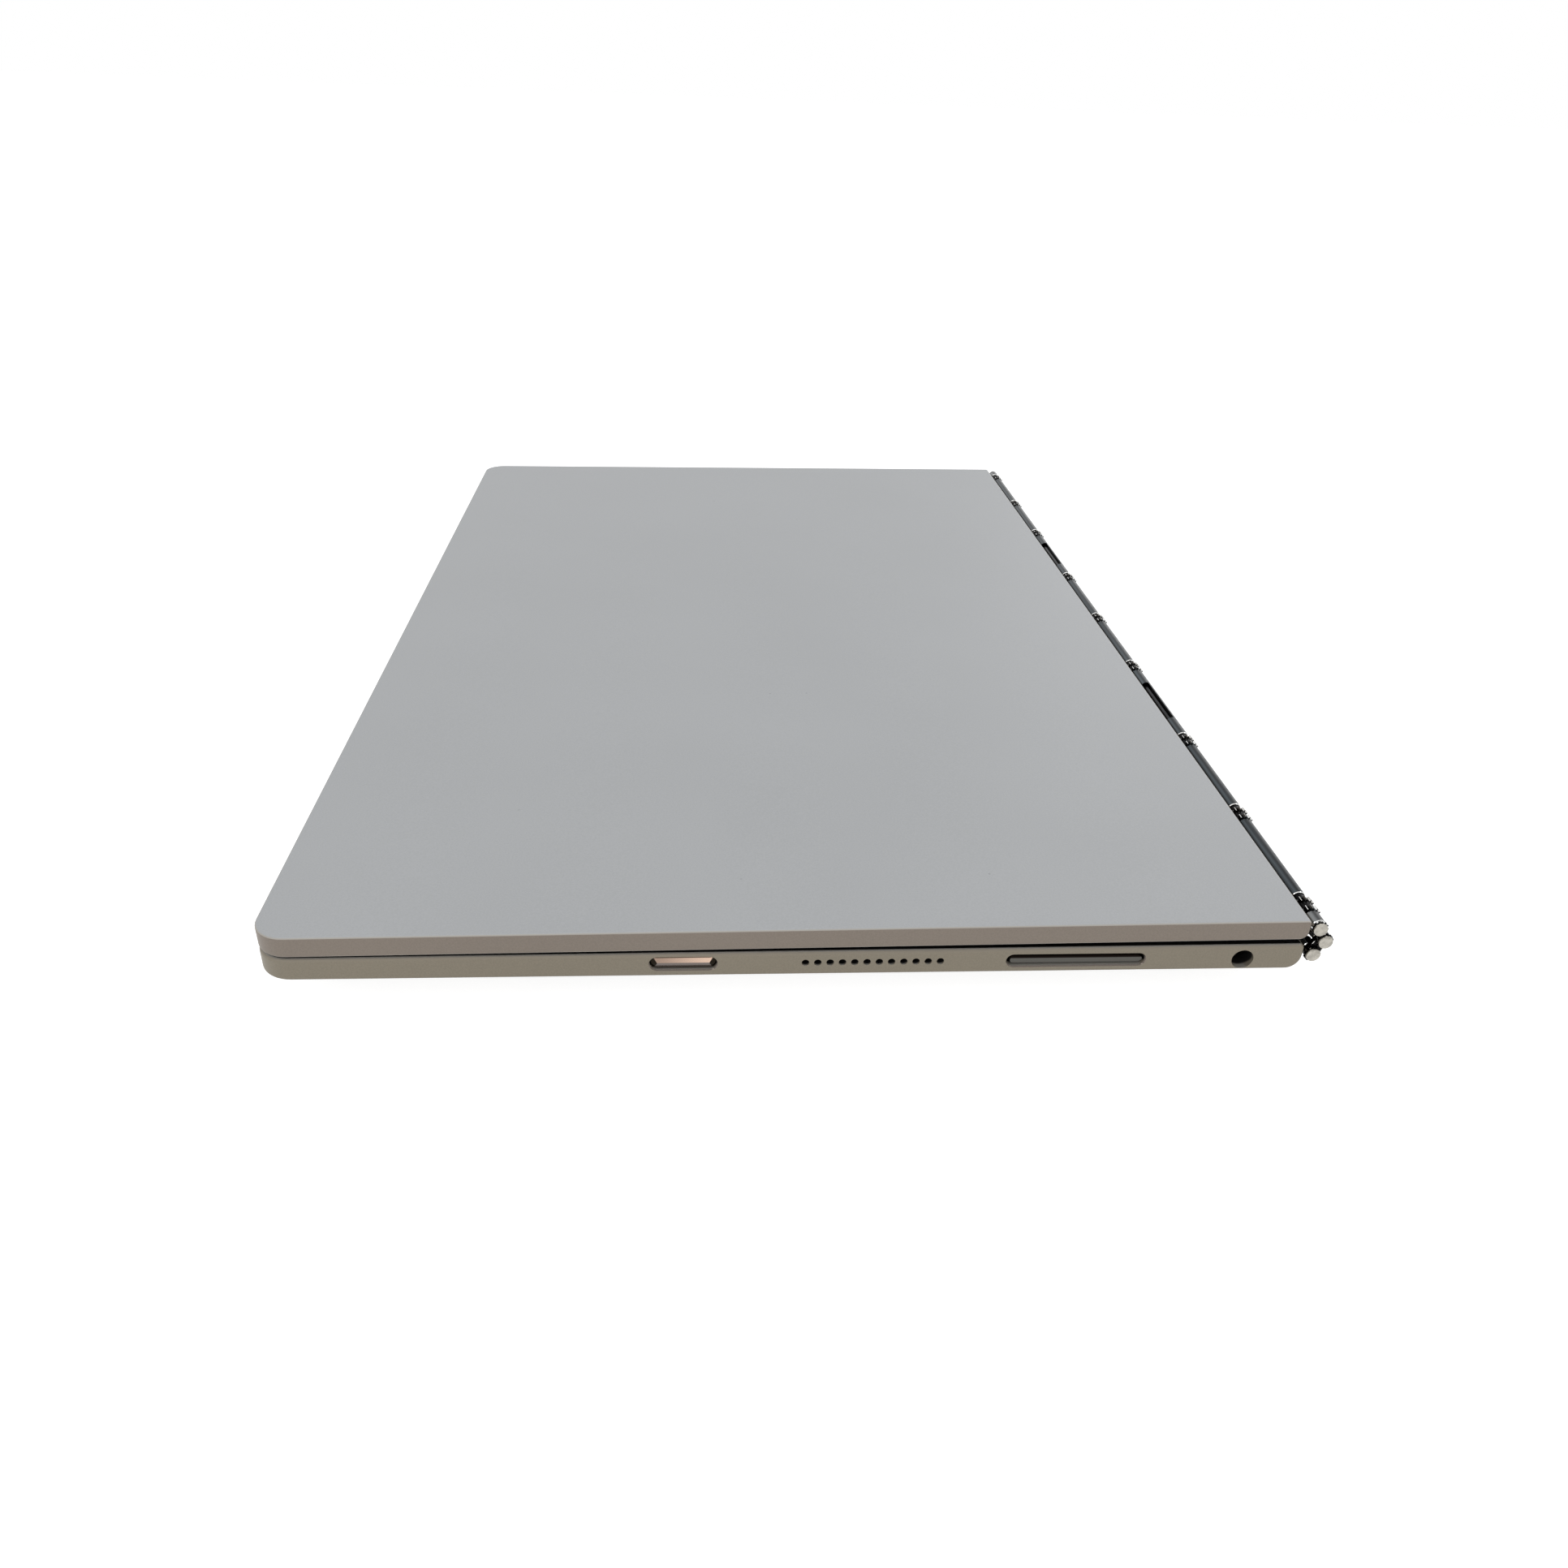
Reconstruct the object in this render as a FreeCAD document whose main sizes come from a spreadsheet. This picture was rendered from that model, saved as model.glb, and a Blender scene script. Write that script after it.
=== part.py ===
import FreeCAD, Part
import math
import os
import re

import Sketcher
from FreeCAD import Placement, Rotation, Vector

# A thin convertible laptop, closed, in millimetres.
# X runs along the hinge, Y from the front edge to the hinge, Z up.
# The origin is the middle of the footprint on the table.

SIZES = {
    # Outer form of the two halves
    "overall_width": 256.6,
    "panel_depth": 166.3,
    "base_front_height": 4.05,
    "base_back_height": 4.85,
    "lid_thickness": 3.65,
    "lid_front_gap": 0.4,
    "lid_back_gap": 1.1,
    "front_corner_radius": 5.5,
    "base_edge_round": 0.6,
    "base_heel_round": 2.5,
    "base_nape_round": 0.9,
    "lid_edge_round": 0.35,
    "lid_inner_round": 1.45,
    "lid_nape_round": 0.6,
    # Walls, rims and glass beds
    "rim_width": 1.3,
    "ledge_width": 1.8,
    "back_wall": 2.5,
    "rail_width": 3.0,
    "floor_thickness": 0.7,
    "lid_wall": 0.8,
    "glass_thickness": 0.55,
    "glass_bed": 0.05,
    "glass_clearance": 0.15,
    "cut_overshoot": 1.0,
    # Hinge train
    "base_axis_height": 2.7,
    "axis_pitch": 2.9,
    "barrel_clearance": 0.15,
    "plate_clearance": 0.25,
    "edge_clearance": 0.5,
    "rod_radius": 0.6,
    "running_clearance": 0.03,
    "axial_clearance": 0.1,
    "tooth_addendum": 0.2,
    "tooth_dedendum": 0.4,
    "tooth_tip_width": 0.12,
    "gear_width": 1.1,
    "plate_width": 1.3,
    "barrel_chamfer": 0.12,
    "end_length": 3.8,
    "end_gear_width": 0.45,
    "end_ring_rise": 0.1,
    "end_plate_width": 0.8,
    "cap_radius": 1.2,
    "cap_thickness": 0.35,
    "cap_round": 0.2,
    "cable_barrel_extra": 7.5,
    "cable_window_length": 17.2,
    "cable_window_floor": 0.15,
    "cable_window_reach": 0.35,
    "leaf_thickness": 0.8,
    "leaf_depth": 5.0,
    "leaf_inset": 1.0,
    "leaf_slot_clearance": 0.1,
    "leaf_slot_overlap": 0.1,
    "screw_radius": 0.5,
    "screw_hole_clearance": 0.05,
    "screw_head_radius": 1.0,
    "screw_head_height": 0.35,
    "hinge_screw_setback": 4.0,
    "hinge_screw_depth": 0.9,
    # Right side: power button, speaker row, volume rocker, headphone socket
    "face_recess": 0.15,
    "button_clearance": 0.15,
    "slot_bevel": 0.15,
    "power_from_back": 100.35,
    "power_height": 2.5,
    "power_slot_length": 10.5,
    "power_slot_height": 2.4,
    "power_travel": 0.4,
    "power_ridge_rise": 0.3,
    "power_ridge_slope": 0.95,
    "power_flange_overlap": 1.0,
    "power_flange_thickness": 0.6,
    "rocker_from_back": 37.5,
    "rocker_height": 2.35,
    "rocker_slot_length": 22.6,
    "rocker_slot_height": 2.25,
    "rocker_top_gap": 0.55,
    "rocker_front_gap": 0.45,
    "rocker_tail": 0.7,
    "rocker_recess": 0.5,
    "rocker_bevel": 0.2,
    "rocker_pin_radius": 0.4,
    "rocker_swing": 0.4,
    "switch_gap": 0.1,
    "switch_depth": 2.5,
    "switch_width": 4.4,
    "switch_thickness": 1.8,
    "switch_base_depth": 0.8,
    "rocker_switch_spacing": 15.0,
    "speaker_from_back": 81.1,
    "speaker_height": 2.45,
    "speaker_hole_radius": 0.6,
    "speaker_hole_pitch": 1.96,
    "jack_from_back": 10.0,
    "jack_height": 2.15,
    "jack_bore_radius": 1.8,
    "jack_wall": 0.12,
    "jack_side_wall": 0.8,
    "jack_bore_length": 13.0,
    "jack_back": 1.2,
    # Left side: card tray and the two sockets
    "tray_from_back": 100.35,
    "tray_height": 2.05,
    "tray_slot_length": 15.0,
    "tray_slot_height": 1.9,
    "tray_face_clearance": 0.12,
    "tray_face_depth": 2.0,
    "tray_length": 20.0,
    "tray_width": 12.6,
    "tray_thickness": 0.8,
    "tray_frame": 1.4,
    "tray_pin_hole_radius": 0.45,
    "tray_pin_hole_offset": 5.2,
    "reader_length": 19.0,
    "reader_wall": 1.4,
    "reader_skin": 0.25,
    "reader_clearance": 0.12,
    "socket_height": 2.25,
    "socket_clearance": 0.1,
    "socket_recess": 0.5,
    "socket_depth": 6.5,
    "socket_skin": 0.3,
    "usb_from_back": 10.0,
    "usb_width": 7.6,
    "usb_thickness": 2.5,
    "hdmi_from_back": 23.3,
    "hdmi_width": 6.6,
    "hdmi_thickness": 2.7,
    "socket_tongue_thickness": 0.6,
    "socket_tongue_inset": 1.2,
    "port_board_overhang": 2.0,
    "port_board_depth": 8.0,
    # Sheets under the deck glass
    "sheet_margin": 10.0,
    "sheet_front": 5.0,
    "sheet_back": 27.3,
    "sheet_gap": 0.02,
    "digitizer_thickness": 0.25,
    "light_guide_thickness": 0.2,
    "deck_plate_thickness": 0.3,
    "deck_plate_bar": 20.2,
    "deck_plate_end": 41.0,
    # Battery and boards
    "battery_front": 8.0,
    "battery_board_space": 4.4,
    "battery_side_gap": 22.2,
    "battery_thickness": 1.85,
    "battery_spacing": 4.0,
    "battery_round": 0.7,
    "battery_board_gap": 0.4,
    "battery_board_depth": 2.6,
    "battery_board_length": 90.0,
    "battery_board_thickness": 1.2,
    "board_from_back": 14.9,
    "board_depth": 24.0,
    "board_left_gap": 10.2,
    "board_right_gap": 22.2,
    "board_lift": 0.5,
    "board_thickness": 0.8,
    "boss_radius": 1.7,
    "board_hole_inset": 3.0,
    "board_screw_depth": 0.9,
    "processor_side": 15.0,
    "processor_thickness": 0.7,
    "memory_length": 12.0,
    "memory_width": 9.0,
    "memory_thickness": 0.6,
    "memory_spacing": 15.4,
    "chip_offset": 34.0,
    "shield_length": 56.0,
    "shield_depth": 19.0,
    "shield_thickness": 1.05,
    "shield_skin": 0.2,
    "radio_shield_length": 30.0,
    "radio_offset": 66.0,
    "spreader_length": 90.0,
    "spreader_depth": 21.0,
    "spreader_thickness": 0.1,
    # Small modules in the base
    "speaker_length": 30.0,
    "speaker_depth": 16.5,
    "speaker_thickness": 2.0,
    "speaker_horn_depth": 3.0,
    "speaker_horn_height": 1.3,
    "mesh_thickness": 0.15,
    "mesh_height": 1.9,
    "mesh_overlap": 1.4,
    "haptic_radius": 4.0,
    "haptic_thickness": 2.0,
    "haptic_from_back": 48.3,
    "haptic_from_side": 17.0,
    "camera_from_side": 18.0,
    "camera_from_back": 19.8,
    "camera_side": 8.5,
    "camera_body_height": 2.2,
    "camera_barrel_radius": 2.7,
    "camera_window_radius": 3.2,
    "camera_window_clearance": 0.08,
    "camera_window_gap": 0.05,
    "antenna_length": 34.0,
    "antenna_depth": 4.0,
    "antenna_thickness": 0.3,
    "antenna_from_side": 40.0,
    "antenna_from_back": 11.0,
    "magnet_length": 18.0,
    "magnet_depth": 3.0,
    "magnet_thickness": 1.4,
    "magnet_from_side": 28.0,
    "magnet_clearance": 0.4,
    "cable_width": 15.5,
    "cable_thickness": 0.14,
    "cable_lift": 0.04,
    "base_cable_length": 16.5,
    "base_cable_end": 0.3,
    # Display half
    "display_side": 16.8,
    "display_front": 11.3,
    "display_from_back": 12.0,
    "display_thickness": 1.25,
    "display_gap": 0.03,
    "backlight_thickness": 0.8,
    "backlight_inset": 1.5,
    "display_board_length": 130.0,
    "display_board_depth": 5.0,
    "display_board_thickness": 1.38,
    "display_board_gap": 0.4,
    "lid_cable_end": 0.85,
    "front_camera_side": 6.0,
    "front_camera_depth": 1.9,
    "front_camera_from_front": 7.5,
    "bumper_radius": 2.0,
    "bumper_height": 0.25,
    "bumper_inset": 5.0,
}

# Twelve teeth on every wheel: a tooth and a gap then face each other along both 60-degree links.
TEETH = 12
HALF_TOOTH = 180 / TEETH
# A tooth gap is cut this much deeper than the wheel's rim, in the same directions, to leave no skin.
GAP_OVERSHOOT = 1.5
LINK_ANGLE = 60
# Twelve sound holes in each speaker row.
SPEAKER_HOLES = 12
# Barrels along one axis, counted from the right end: two short end barrels and eight long ones.
LONG_BARRELS = range(1, 9)
CABLE_BARRELS = (3, 6)
CLUSTERS = range(0, 9)

HALF_WIDTH = "overall_width / 2"
BARREL = "(axis_pitch / 2 - barrel_clearance)"
PLATE_ROUND = "(axis_pitch / 2 - plate_clearance)"
GEAR_TIP = "(axis_pitch / 2 + tooth_addendum)"
GEAR_ROOT = "(axis_pitch / 2 - tooth_dedendum)"
END_TIP = f"({BARREL} + end_ring_rise)"
BORE = "(rod_radius + running_clearance)"
EDGE_GAP = f"({BARREL} + edge_clearance)"
OVERALL_DEPTH = f"(panel_depth + {EDGE_GAP} + axis_pitch / 2 + {GEAR_TIP})"
FRONT_Y = f"(-{OVERALL_DEPTH} / 2)"
BACK_Y = f"({FRONT_Y} + panel_depth)"
HINGE_Y = f"({BACK_Y} + {EDGE_GAP})"
LINK_RISE = "(axis_pitch * sqrt(3) / 2)"
LID_AXIS_Z = f"(base_axis_height + 2 * {LINK_RISE})"
LID_INNER = f"(base_back_height + lid_back_gap - {LID_AXIS_Z})"
LID_OUTER = f"({LID_INNER} + lid_thickness)"
LID_GLASS_TOP = f"({LID_INNER} + glass_thickness)"
LID_CEILING = f"({LID_OUTER} - lid_wall)"
WALL = "(rim_width + ledge_width)"
INNER_X = f"({HALF_WIDTH} - {WALL})"
CAVITY_BACK_Y = f"({BACK_Y} - back_wall)"
RAIL_Y = f"({CAVITY_BACK_Y} - rail_width)"
RAIL_Z = "(base_axis_height - leaf_thickness / 2)"
BOARD_TOP = "(floor_thickness + board_lift + board_thickness)"
BOARD_FRONT = "(board_from_back + board_depth)"
BATTERY_FRONT_Y = f"({FRONT_Y} + battery_front)"
BATTERY_LENGTH = f"(panel_depth - battery_front - {BOARD_FRONT} - battery_board_space)"
SHEETS_TOP = "(-glass_thickness - glass_bed)"
SHEET_WIDTH = "(overall_width - 2 * sheet_margin)"
DISPLAY_LENGTH = "(overall_width - 2 * display_side)"
DISPLAY_DEPTH = "(panel_depth - display_from_back - display_front)"
CLUSTER = "(4 * axial_clearance + 2 * gear_width + 2 * plate_width)"
LONG_BARREL = (
    f"((overall_width - 2 * end_length - {len(CLUSTERS)} * {CLUSTER}"
    f" - {len(CABLE_BARRELS)} * cable_barrel_extra) / {len(LONG_BARRELS)})"
)
CABLE_BARREL = f"({LONG_BARREL} + cable_barrel_extra)"
END_BARREL = "(end_length - cap_thickness - 2 * axial_clearance - end_gear_width)"

doc = FreeCAD.newDocument("convertible_laptop")
sheet = doc.addObject("Spreadsheet::Sheet", "sizes")
for row, (alias, value) in enumerate(SIZES.items(), start=1):
    sheet.set(f"A{row}", alias.replace("_", " "))
    sheet.set(f"B{row}", str(value))
    sheet.setAlias(f"B{row}", alias)
doc.recompute()

ALIASES = re.compile(r"\b(" + "|".join(SIZES) + r")\b")
NODES = {}
# Coordinates closer than this count as equal when edges are chosen.
TOLERANCE = 0.01


def size(formula):
    """The present value of a formula of the sheet's sizes."""
    result = sheet.evalExpression(formula)
    return float(getattr(result, "Value", result))


def bind(item, formulas):
    """Tie an object's properties to formulas of the sheet's sizes."""
    for name, formula in formulas.items():
        item.setExpression(name, ALIASES.sub(r"sizes.\1", formula))


def keep(label, item):
    """Register an object as the sub-part of that name."""
    item.Label = label
    NODES[label] = item
    return item


class Frame:
    """A flat working frame that is tilted about X where it meets the whole part."""

    def __init__(self, y="0", z="0", rise="0", run="1"):
        self.y = y
        self.z = z
        self.tilt = f"atan(({rise}) / ({run}))"

    def place(self, item, x="0", y="0", z="0", turn=None):
        """Put an object at a point of this frame; turn replaces the frame's own tilt."""
        item.Placement = Placement(Vector(), turn or Rotation(Vector(1, 0, 0), 1))
        bind(item, {
            "Placement.Base.x": x,
            "Placement.Base.y": f"{self.y} + ({y}) * cos({self.tilt}) - ({z}) * sin({self.tilt})",
            "Placement.Base.z": f"{self.z} + ({y}) * sin({self.tilt}) + ({z}) * cos({self.tilt})",
        })
        if turn is None:
            bind(item, {"Placement.Rotation.Angle": self.tilt})
        return item


WORLD = Frame()
DECK = Frame(FRONT_Y, "base_front_height", "base_back_height - base_front_height", "panel_depth")
BASE_AXIS = Frame(HINGE_Y, "base_axis_height")
MIDDLE_AXIS = Frame(f"({HINGE_Y} + axis_pitch / 2)", f"(base_axis_height + {LINK_RISE})")
LID = Frame(
    HINGE_Y, LID_AXIS_Z,
    "base_back_height + lid_back_gap - base_front_height - lid_front_gap", "panel_depth",
)
TO_MIDDLE_FROM_BASE = Rotation(Vector(1, 0, 0), LINK_ANGLE)
TO_MIDDLE_FROM_LID = Rotation(Vector(1, 0, 0), -LINK_ANGLE)
FLIPPED_END = TO_MIDDLE_FROM_BASE.multiply(Rotation(Vector(0, 1, 0), 180))
ALONG_X = Rotation(Vector(0, 1, 0), 90)
TURNED_ROUND = Rotation(Vector(0, 0, 1), 180)


def from_front(distance):
    """The Y of a point that lies that far behind the front edge."""
    return f"({FRONT_Y} + {distance})"


def from_back(distance):
    """The Y of a point that lies that far in front of the base's back edge."""
    return f"({BACK_Y} - ({distance}))"


# Sketches and features


def origin_feature(body, role):
    """One of a body's own origin planes or axes."""
    return next(item for item in body.Origin.OriginFeatures if item.Role == role)


def sketch_on(body, name, role, offset="0", shift="0"):
    """A sketch on an origin plane, moved along its normal and along its own first axis."""
    sketch = body.newObject("Sketcher::SketchObject", name)
    sketch.AttachmentSupport = [(origin_feature(body, role), "")]
    sketch.MapMode = "FlatFace"
    bind(sketch, {"AttachmentOffset.Base.z": offset, "AttachmentOffset.Base.x": shift})
    return sketch


def tilted_sketch(body, name, frame, z):
    """A sketch at a height of a tilted frame, its axes along the frame's own X and Y."""
    sketch = sketch_on(body, name, "XY_Plane")
    sketch.AttachmentOffset = Placement(Vector(), Rotation(Vector(1, 0, 0), 1))
    bind(sketch, {
        "AttachmentOffset.Base.y": f"{frame.y} - ({z}) * sin({frame.tilt})",
        "AttachmentOffset.Base.z": f"{frame.z} + ({z}) * cos({frame.tilt})",
        "AttachmentOffset.Rotation.Angle": frame.tilt,
    })
    return sketch


def set_radius(sketch, geometry, radius):
    """Hold the radius of an arc or circle at a formula."""
    name = f"Radius{geometry}"
    constraint = Sketcher.Constraint("Radius", geometry, size(radius))
    sketch.renameConstraint(sketch.addConstraint(constraint), name)
    bind(sketch, {f"Constraints.{name}": radius})


def tie_point(sketch, geometry, corner, point):
    """Hold a point of a sketch at a pair of formulas."""
    for kind, formula in zip(("DistanceX", "DistanceY"), point):
        constraint = Sketcher.Constraint(kind, -1, 1, geometry, corner, size(formula))
        name = f"{kind}{geometry}_{corner}"
        sketch.renameConstraint(sketch.addConstraint(constraint), name)
        bind(sketch, {f"Constraints.{name}": formula})


def polygon(sketch, points):
    """A closed outline of straight lines through points given as formulas."""
    first = sketch.GeometryCount
    ends = [Vector(size(x), size(y), 0) for x, y in points]
    for start, end in zip(ends, ends[1:] + ends[:1]):
        sketch.addGeometry(Part.LineSegment(start, end))
    for index in range(len(points)):
        following = (index + 1) % len(points)
        sketch.addConstraint(Sketcher.Constraint("Coincident", first + index, 2, first + following, 1))
    for index, point in enumerate(points):
        tie_point(sketch, first + index, 1, point)


def rectangle(sketch, low, high):
    """A rectangle between two opposite corners."""
    polygon(sketch, [low, (high[0], low[1]), high, (low[0], high[1])])


def rounded_sheet(sketch, low, high, radius):
    """A rectangle whose two front corners, at its low second coordinate, are rounded."""
    first = sketch.GeometryCount
    x_low, y_low, x_high, y_high = (size(formula) for formula in (*low, *high))
    bend = size(radius)
    turn = bend * math.sqrt(0.5)
    left = Vector(x_low + bend, y_low + bend, 0)
    right = Vector(x_high - bend, y_low + bend, 0)
    down = Vector(0, -bend, 0)
    side = Vector(bend, 0, 0)
    back_left = Vector(x_low, y_high, 0)
    back_right = Vector(x_high, y_high, 0)
    sketch.addGeometry(Part.LineSegment(left + down, right + down))
    sketch.addGeometry(Part.Arc(right + down, right + Vector(turn, -turn, 0), right + side))
    sketch.addGeometry(Part.LineSegment(right + side, back_right))
    sketch.addGeometry(Part.LineSegment(back_right, back_left))
    sketch.addGeometry(Part.LineSegment(back_left, left - side))
    sketch.addGeometry(Part.Arc(left - side, left + Vector(-turn, -turn, 0), left + down))
    for one, other in ((0, 1), (1, 2), (4, 5), (5, 0)):
        sketch.addConstraint(Sketcher.Constraint("Tangent", first + one, 2, first + other, 1))
    for one, other in ((2, 3), (3, 4)):
        sketch.addConstraint(Sketcher.Constraint("Coincident", first + one, 2, first + other, 1))
    sketch.addConstraint(Sketcher.Constraint("Equal", first + 1, first + 5))
    tie_point(sketch, first + 1, 3, (f"({high[0]}) - ({radius})", f"({low[1]}) + ({radius})"))
    tie_point(sketch, first + 5, 3, (f"({low[0]}) + ({radius})", f"({low[1]}) + ({radius})"))
    tie_point(sketch, first + 3, 1, high)
    tie_point(sketch, first + 3, 2, (low[0], high[1]))
    set_radius(sketch, first + 1, radius)


def circle(sketch, centre, radius):
    """A circle whose centre and radius are formulas."""
    middle = Vector(size(centre[0]), size(centre[1]), 0)
    index = sketch.addGeometry(Part.Circle(middle, Vector(0, 0, 1), size(radius)))
    tie_point(sketch, index, 3, centre)
    set_radius(sketch, index, radius)


def pill(sketch, centre, length, height):
    """A round-ended slot along the sketch's first axis."""
    first = sketch.GeometryCount
    radius = f"({height}) / 2"
    half = f"(({length}) - ({height})) / 2"
    low = (f"{centre[0]} - {half}", centre[1])
    high = (f"{centre[0]} + {half}", centre[1])
    left = Vector(size(low[0]), size(low[1]), 0)
    right = Vector(size(high[0]), size(high[1]), 0)
    up = Vector(0, size(radius), 0)
    side = Vector(size(radius), 0, 0)
    sketch.addGeometry(Part.LineSegment(left - up, right - up))
    sketch.addGeometry(Part.Arc(right - up, right + side, right + up))
    sketch.addGeometry(Part.LineSegment(right + up, left + up))
    sketch.addGeometry(Part.Arc(left + up, left - side, left - up))
    for one, other in ((0, 1), (1, 2), (2, 3), (3, 0)):
        sketch.addConstraint(Sketcher.Constraint("Tangent", first + one, 2, first + other, 1))
    sketch.addConstraint(Sketcher.Constraint("Equal", first + 1, first + 3))
    tie_point(sketch, first + 3, 3, low)
    tie_point(sketch, first + 1, 3, high)
    set_radius(sketch, first + 1, radius)


def pad(body, sketch, name, length, both_ways=False, backwards=False):
    """Raise a sketch into material."""
    feature = body.newObject("PartDesign::Pad", name)
    feature.Profile = sketch
    feature.Midplane = both_ways
    feature.Reversed = backwards
    bind(feature, {"Length": length})
    doc.recompute()
    body.Tip = feature
    return feature


def pocket(body, sketch, name, length=None, both_ways=False, backwards=False):
    """Cut a sketch out of a body, right through where no length is given."""
    before = body.Shape.Volume
    feature = body.newObject("PartDesign::Pocket", name)
    feature.Profile = sketch
    feature.Midplane = both_ways
    feature.Reversed = backwards
    if length is None:
        feature.Type = "ThroughAll"
    else:
        bind(feature, {"Length": length})
    doc.recompute()
    body.Tip = feature
    doc.recompute()
    if body.Shape.Volume >= before:
        raise RuntimeError(f"{body.Name}: {name} cuts nothing")
    return feature


def round_edges(body, name, radius, chosen):
    """Round those edges of a body whose two end points pass a test."""
    base = body.Tip
    edges = []
    for index, edge in enumerate(base.Shape.Edges, start=1):
        if len(edge.Vertexes) == 2 and chosen(edge.Vertexes[0].Point, edge.Vertexes[1].Point):
            edges.append(f"Edge{index}")
    if not edges:
        raise RuntimeError(f"{body.Name}: {name} finds no edge")
    feature = body.newObject("PartDesign::Fillet", name)
    feature.Base = (base, edges)
    bind(feature, {"Radius": radius})
    body.Tip = feature
    doc.recompute()


def bevel_edges(body, name, width, chosen, depth=None):
    """Cut a bevel along those edges of a body whose two end points pass a test."""
    base = body.Tip
    edges = []
    for index, edge in enumerate(base.Shape.Edges, start=1):
        if len(edge.Vertexes) == 2 and chosen(edge.Vertexes[0].Point, edge.Vertexes[1].Point):
            edges.append(f"Edge{index}")
    if not edges:
        raise RuntimeError(f"{body.Name}: {name} finds no edge")
    feature = body.newObject("PartDesign::Chamfer", name)
    feature.Base = (base, edges)
    bind(feature, {"Size": width})
    if depth is not None:
        feature.ChamferType = "Two distances"
        bind(feature, {"Size2": depth})
    body.Tip = feature
    doc.recompute()


def upright(start, end):
    """Whether an edge runs straight up."""
    return abs(start.x - end.x) < TOLERANCE and abs(start.y - end.y) < TOLERANCE


def close_to(value, formula):
    """Whether a coordinate has the value of a formula."""
    return abs(value - size(formula)) < TOLERANCE


def ring_pattern(body, sketch, name, feature):
    """Repeat a tooth gap round the normal through its sketch's origin."""
    pattern = body.newObject("PartDesign::PolarPattern", name)
    pattern.Originals = [feature]
    pattern.Axis = (sketch, ["N_Axis"])
    pattern.Angle = 360
    pattern.Occurrences = TEETH
    body.Tip = pattern
    doc.recompute()


def cut_teeth(body, name, low, width, first_gap, shift="0"):
    """Cut pointed gaps round a blank wheel whose low face and width along X are given."""
    sketch = sketch_on(body, f"{name}_gap", "YZ_Plane", low, shift)
    reach = f"({GEAR_ROOT} + {GAP_OVERSHOOT} * ({GEAR_TIP} * cos({HALF_TOOTH} deg) - {GEAR_ROOT}))"
    half = f"({GAP_OVERSHOOT} * ({GEAR_TIP} * sin({HALF_TOOTH} deg) - tooth_tip_width / 2))"
    along = f"cos({first_gap} deg)"
    across = f"sin({first_gap} deg)"
    polygon(sketch, [
        (f"{GEAR_ROOT} * {along}", f"{GEAR_ROOT} * {across}"),
        (f"{reach} * {along} + {half} * {across}", f"{reach} * {across} - {half} * {along}"),
        (f"{reach} * {along} - {half} * {across}", f"{reach} * {across} + {half} * {along}"),
    ])
    cut = pocket(body, sketch, f"{name}_gap_cut", width, backwards=True)
    ring_pattern(body, sketch, f"{name}_gaps", cut)


def turned(name, profile):
    """A body turned about X from an outline of (x, radius) formulas."""
    body = doc.addObject("PartDesign::Body", name)
    sketch = sketch_on(body, f"{name}_profile", "XY_Plane")
    polygon(sketch, profile)
    feature = body.newObject("PartDesign::Revolution", f"{name}_turned")
    feature.Profile = sketch
    feature.ReferenceAxis = (origin_feature(body, "X_Axis"), [""])
    feature.Angle = 360
    body.Tip = feature
    doc.recompute()
    return body


def plate(label, frame, low, high, front_radius=None):
    """A flat sheet between two corner points of a frame, its front corners rounded if asked."""
    body = doc.addObject("PartDesign::Body", label)
    sketch = sketch_on(body, f"{label}_outline", "XY_Plane", low[2])
    if front_radius:
        rounded_sheet(sketch, low[:2], high[:2], front_radius)
    else:
        rectangle(sketch, low[:2], high[:2])
    pad(body, sketch, f"{label}_sheet", f"({high[2]}) - ({low[2]})")
    frame.place(body)
    return keep(label, body)


def box(name, frame, low, extent):
    """A block with a low corner and three edge lengths in a frame."""
    item = doc.addObject("Part::Box", name)
    bind(item, dict(zip(("Length", "Width", "Height"), extent)))
    return frame.place(item, *low)


def disc(name, frame, centre, radius, height):
    """An upright cylinder on a point of a frame."""
    item = doc.addObject("Part::Cylinder", name)
    bind(item, {"Radius": radius, "Height": height})
    return frame.place(item, *centre)


def rod(name, frame, centre, radius, length):
    """A cylinder along X whose low end is at a point of a frame."""
    item = doc.addObject("Part::Cylinder", name)
    bind(item, {"Radius": radius, "Height": length})
    return frame.place(item, *centre, turn=ALONG_X)


def joined(name, items):
    """Several overlapping pieces of material fused into one solid."""
    fusion = doc.addObject("Part::MultiFuse", name)
    fusion.Shapes = items
    return fusion


def minus(name, item, tool):
    """One solid with another cut out of it."""
    cut = doc.addObject("Part::Cut", name)
    cut.Base = item
    cut.Tool = tool
    return cut


def group(label, items):
    """Like pieces that share one node, each still a solid of its own."""
    compound = doc.addObject("Part::Compound", label)
    compound.Links = items
    return keep(label, compound)


def copy_of(master, name, frame, x, turn=None):
    """A linked copy of a master piece on one of the hinge axes."""
    link = doc.addObject("App::Link", name)
    link.LinkedObject = master
    return frame.place(link, x, turn=turn)


# Hinge stations along X


def barrel_x(index):
    """The X of a barrel's left end, where its cluster of wheels and plates starts."""
    long_ones = min(index, len(LONG_BARRELS))
    cables = sum(1 for barrel in CABLE_BARRELS if barrel <= index)
    return (
        f"({HALF_WIDTH} - end_length - {index} * {CLUSTER}"
        f" - {long_ones} * {LONG_BARREL} - {cables} * cable_barrel_extra)"
    )


def barrel_length(index):
    """The length of a long barrel."""
    return CABLE_BARREL if index in CABLE_BARRELS else LONG_BARREL


LEFT_END_X = f"(-{HALF_WIDTH} + end_length)"


# Base half


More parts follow.
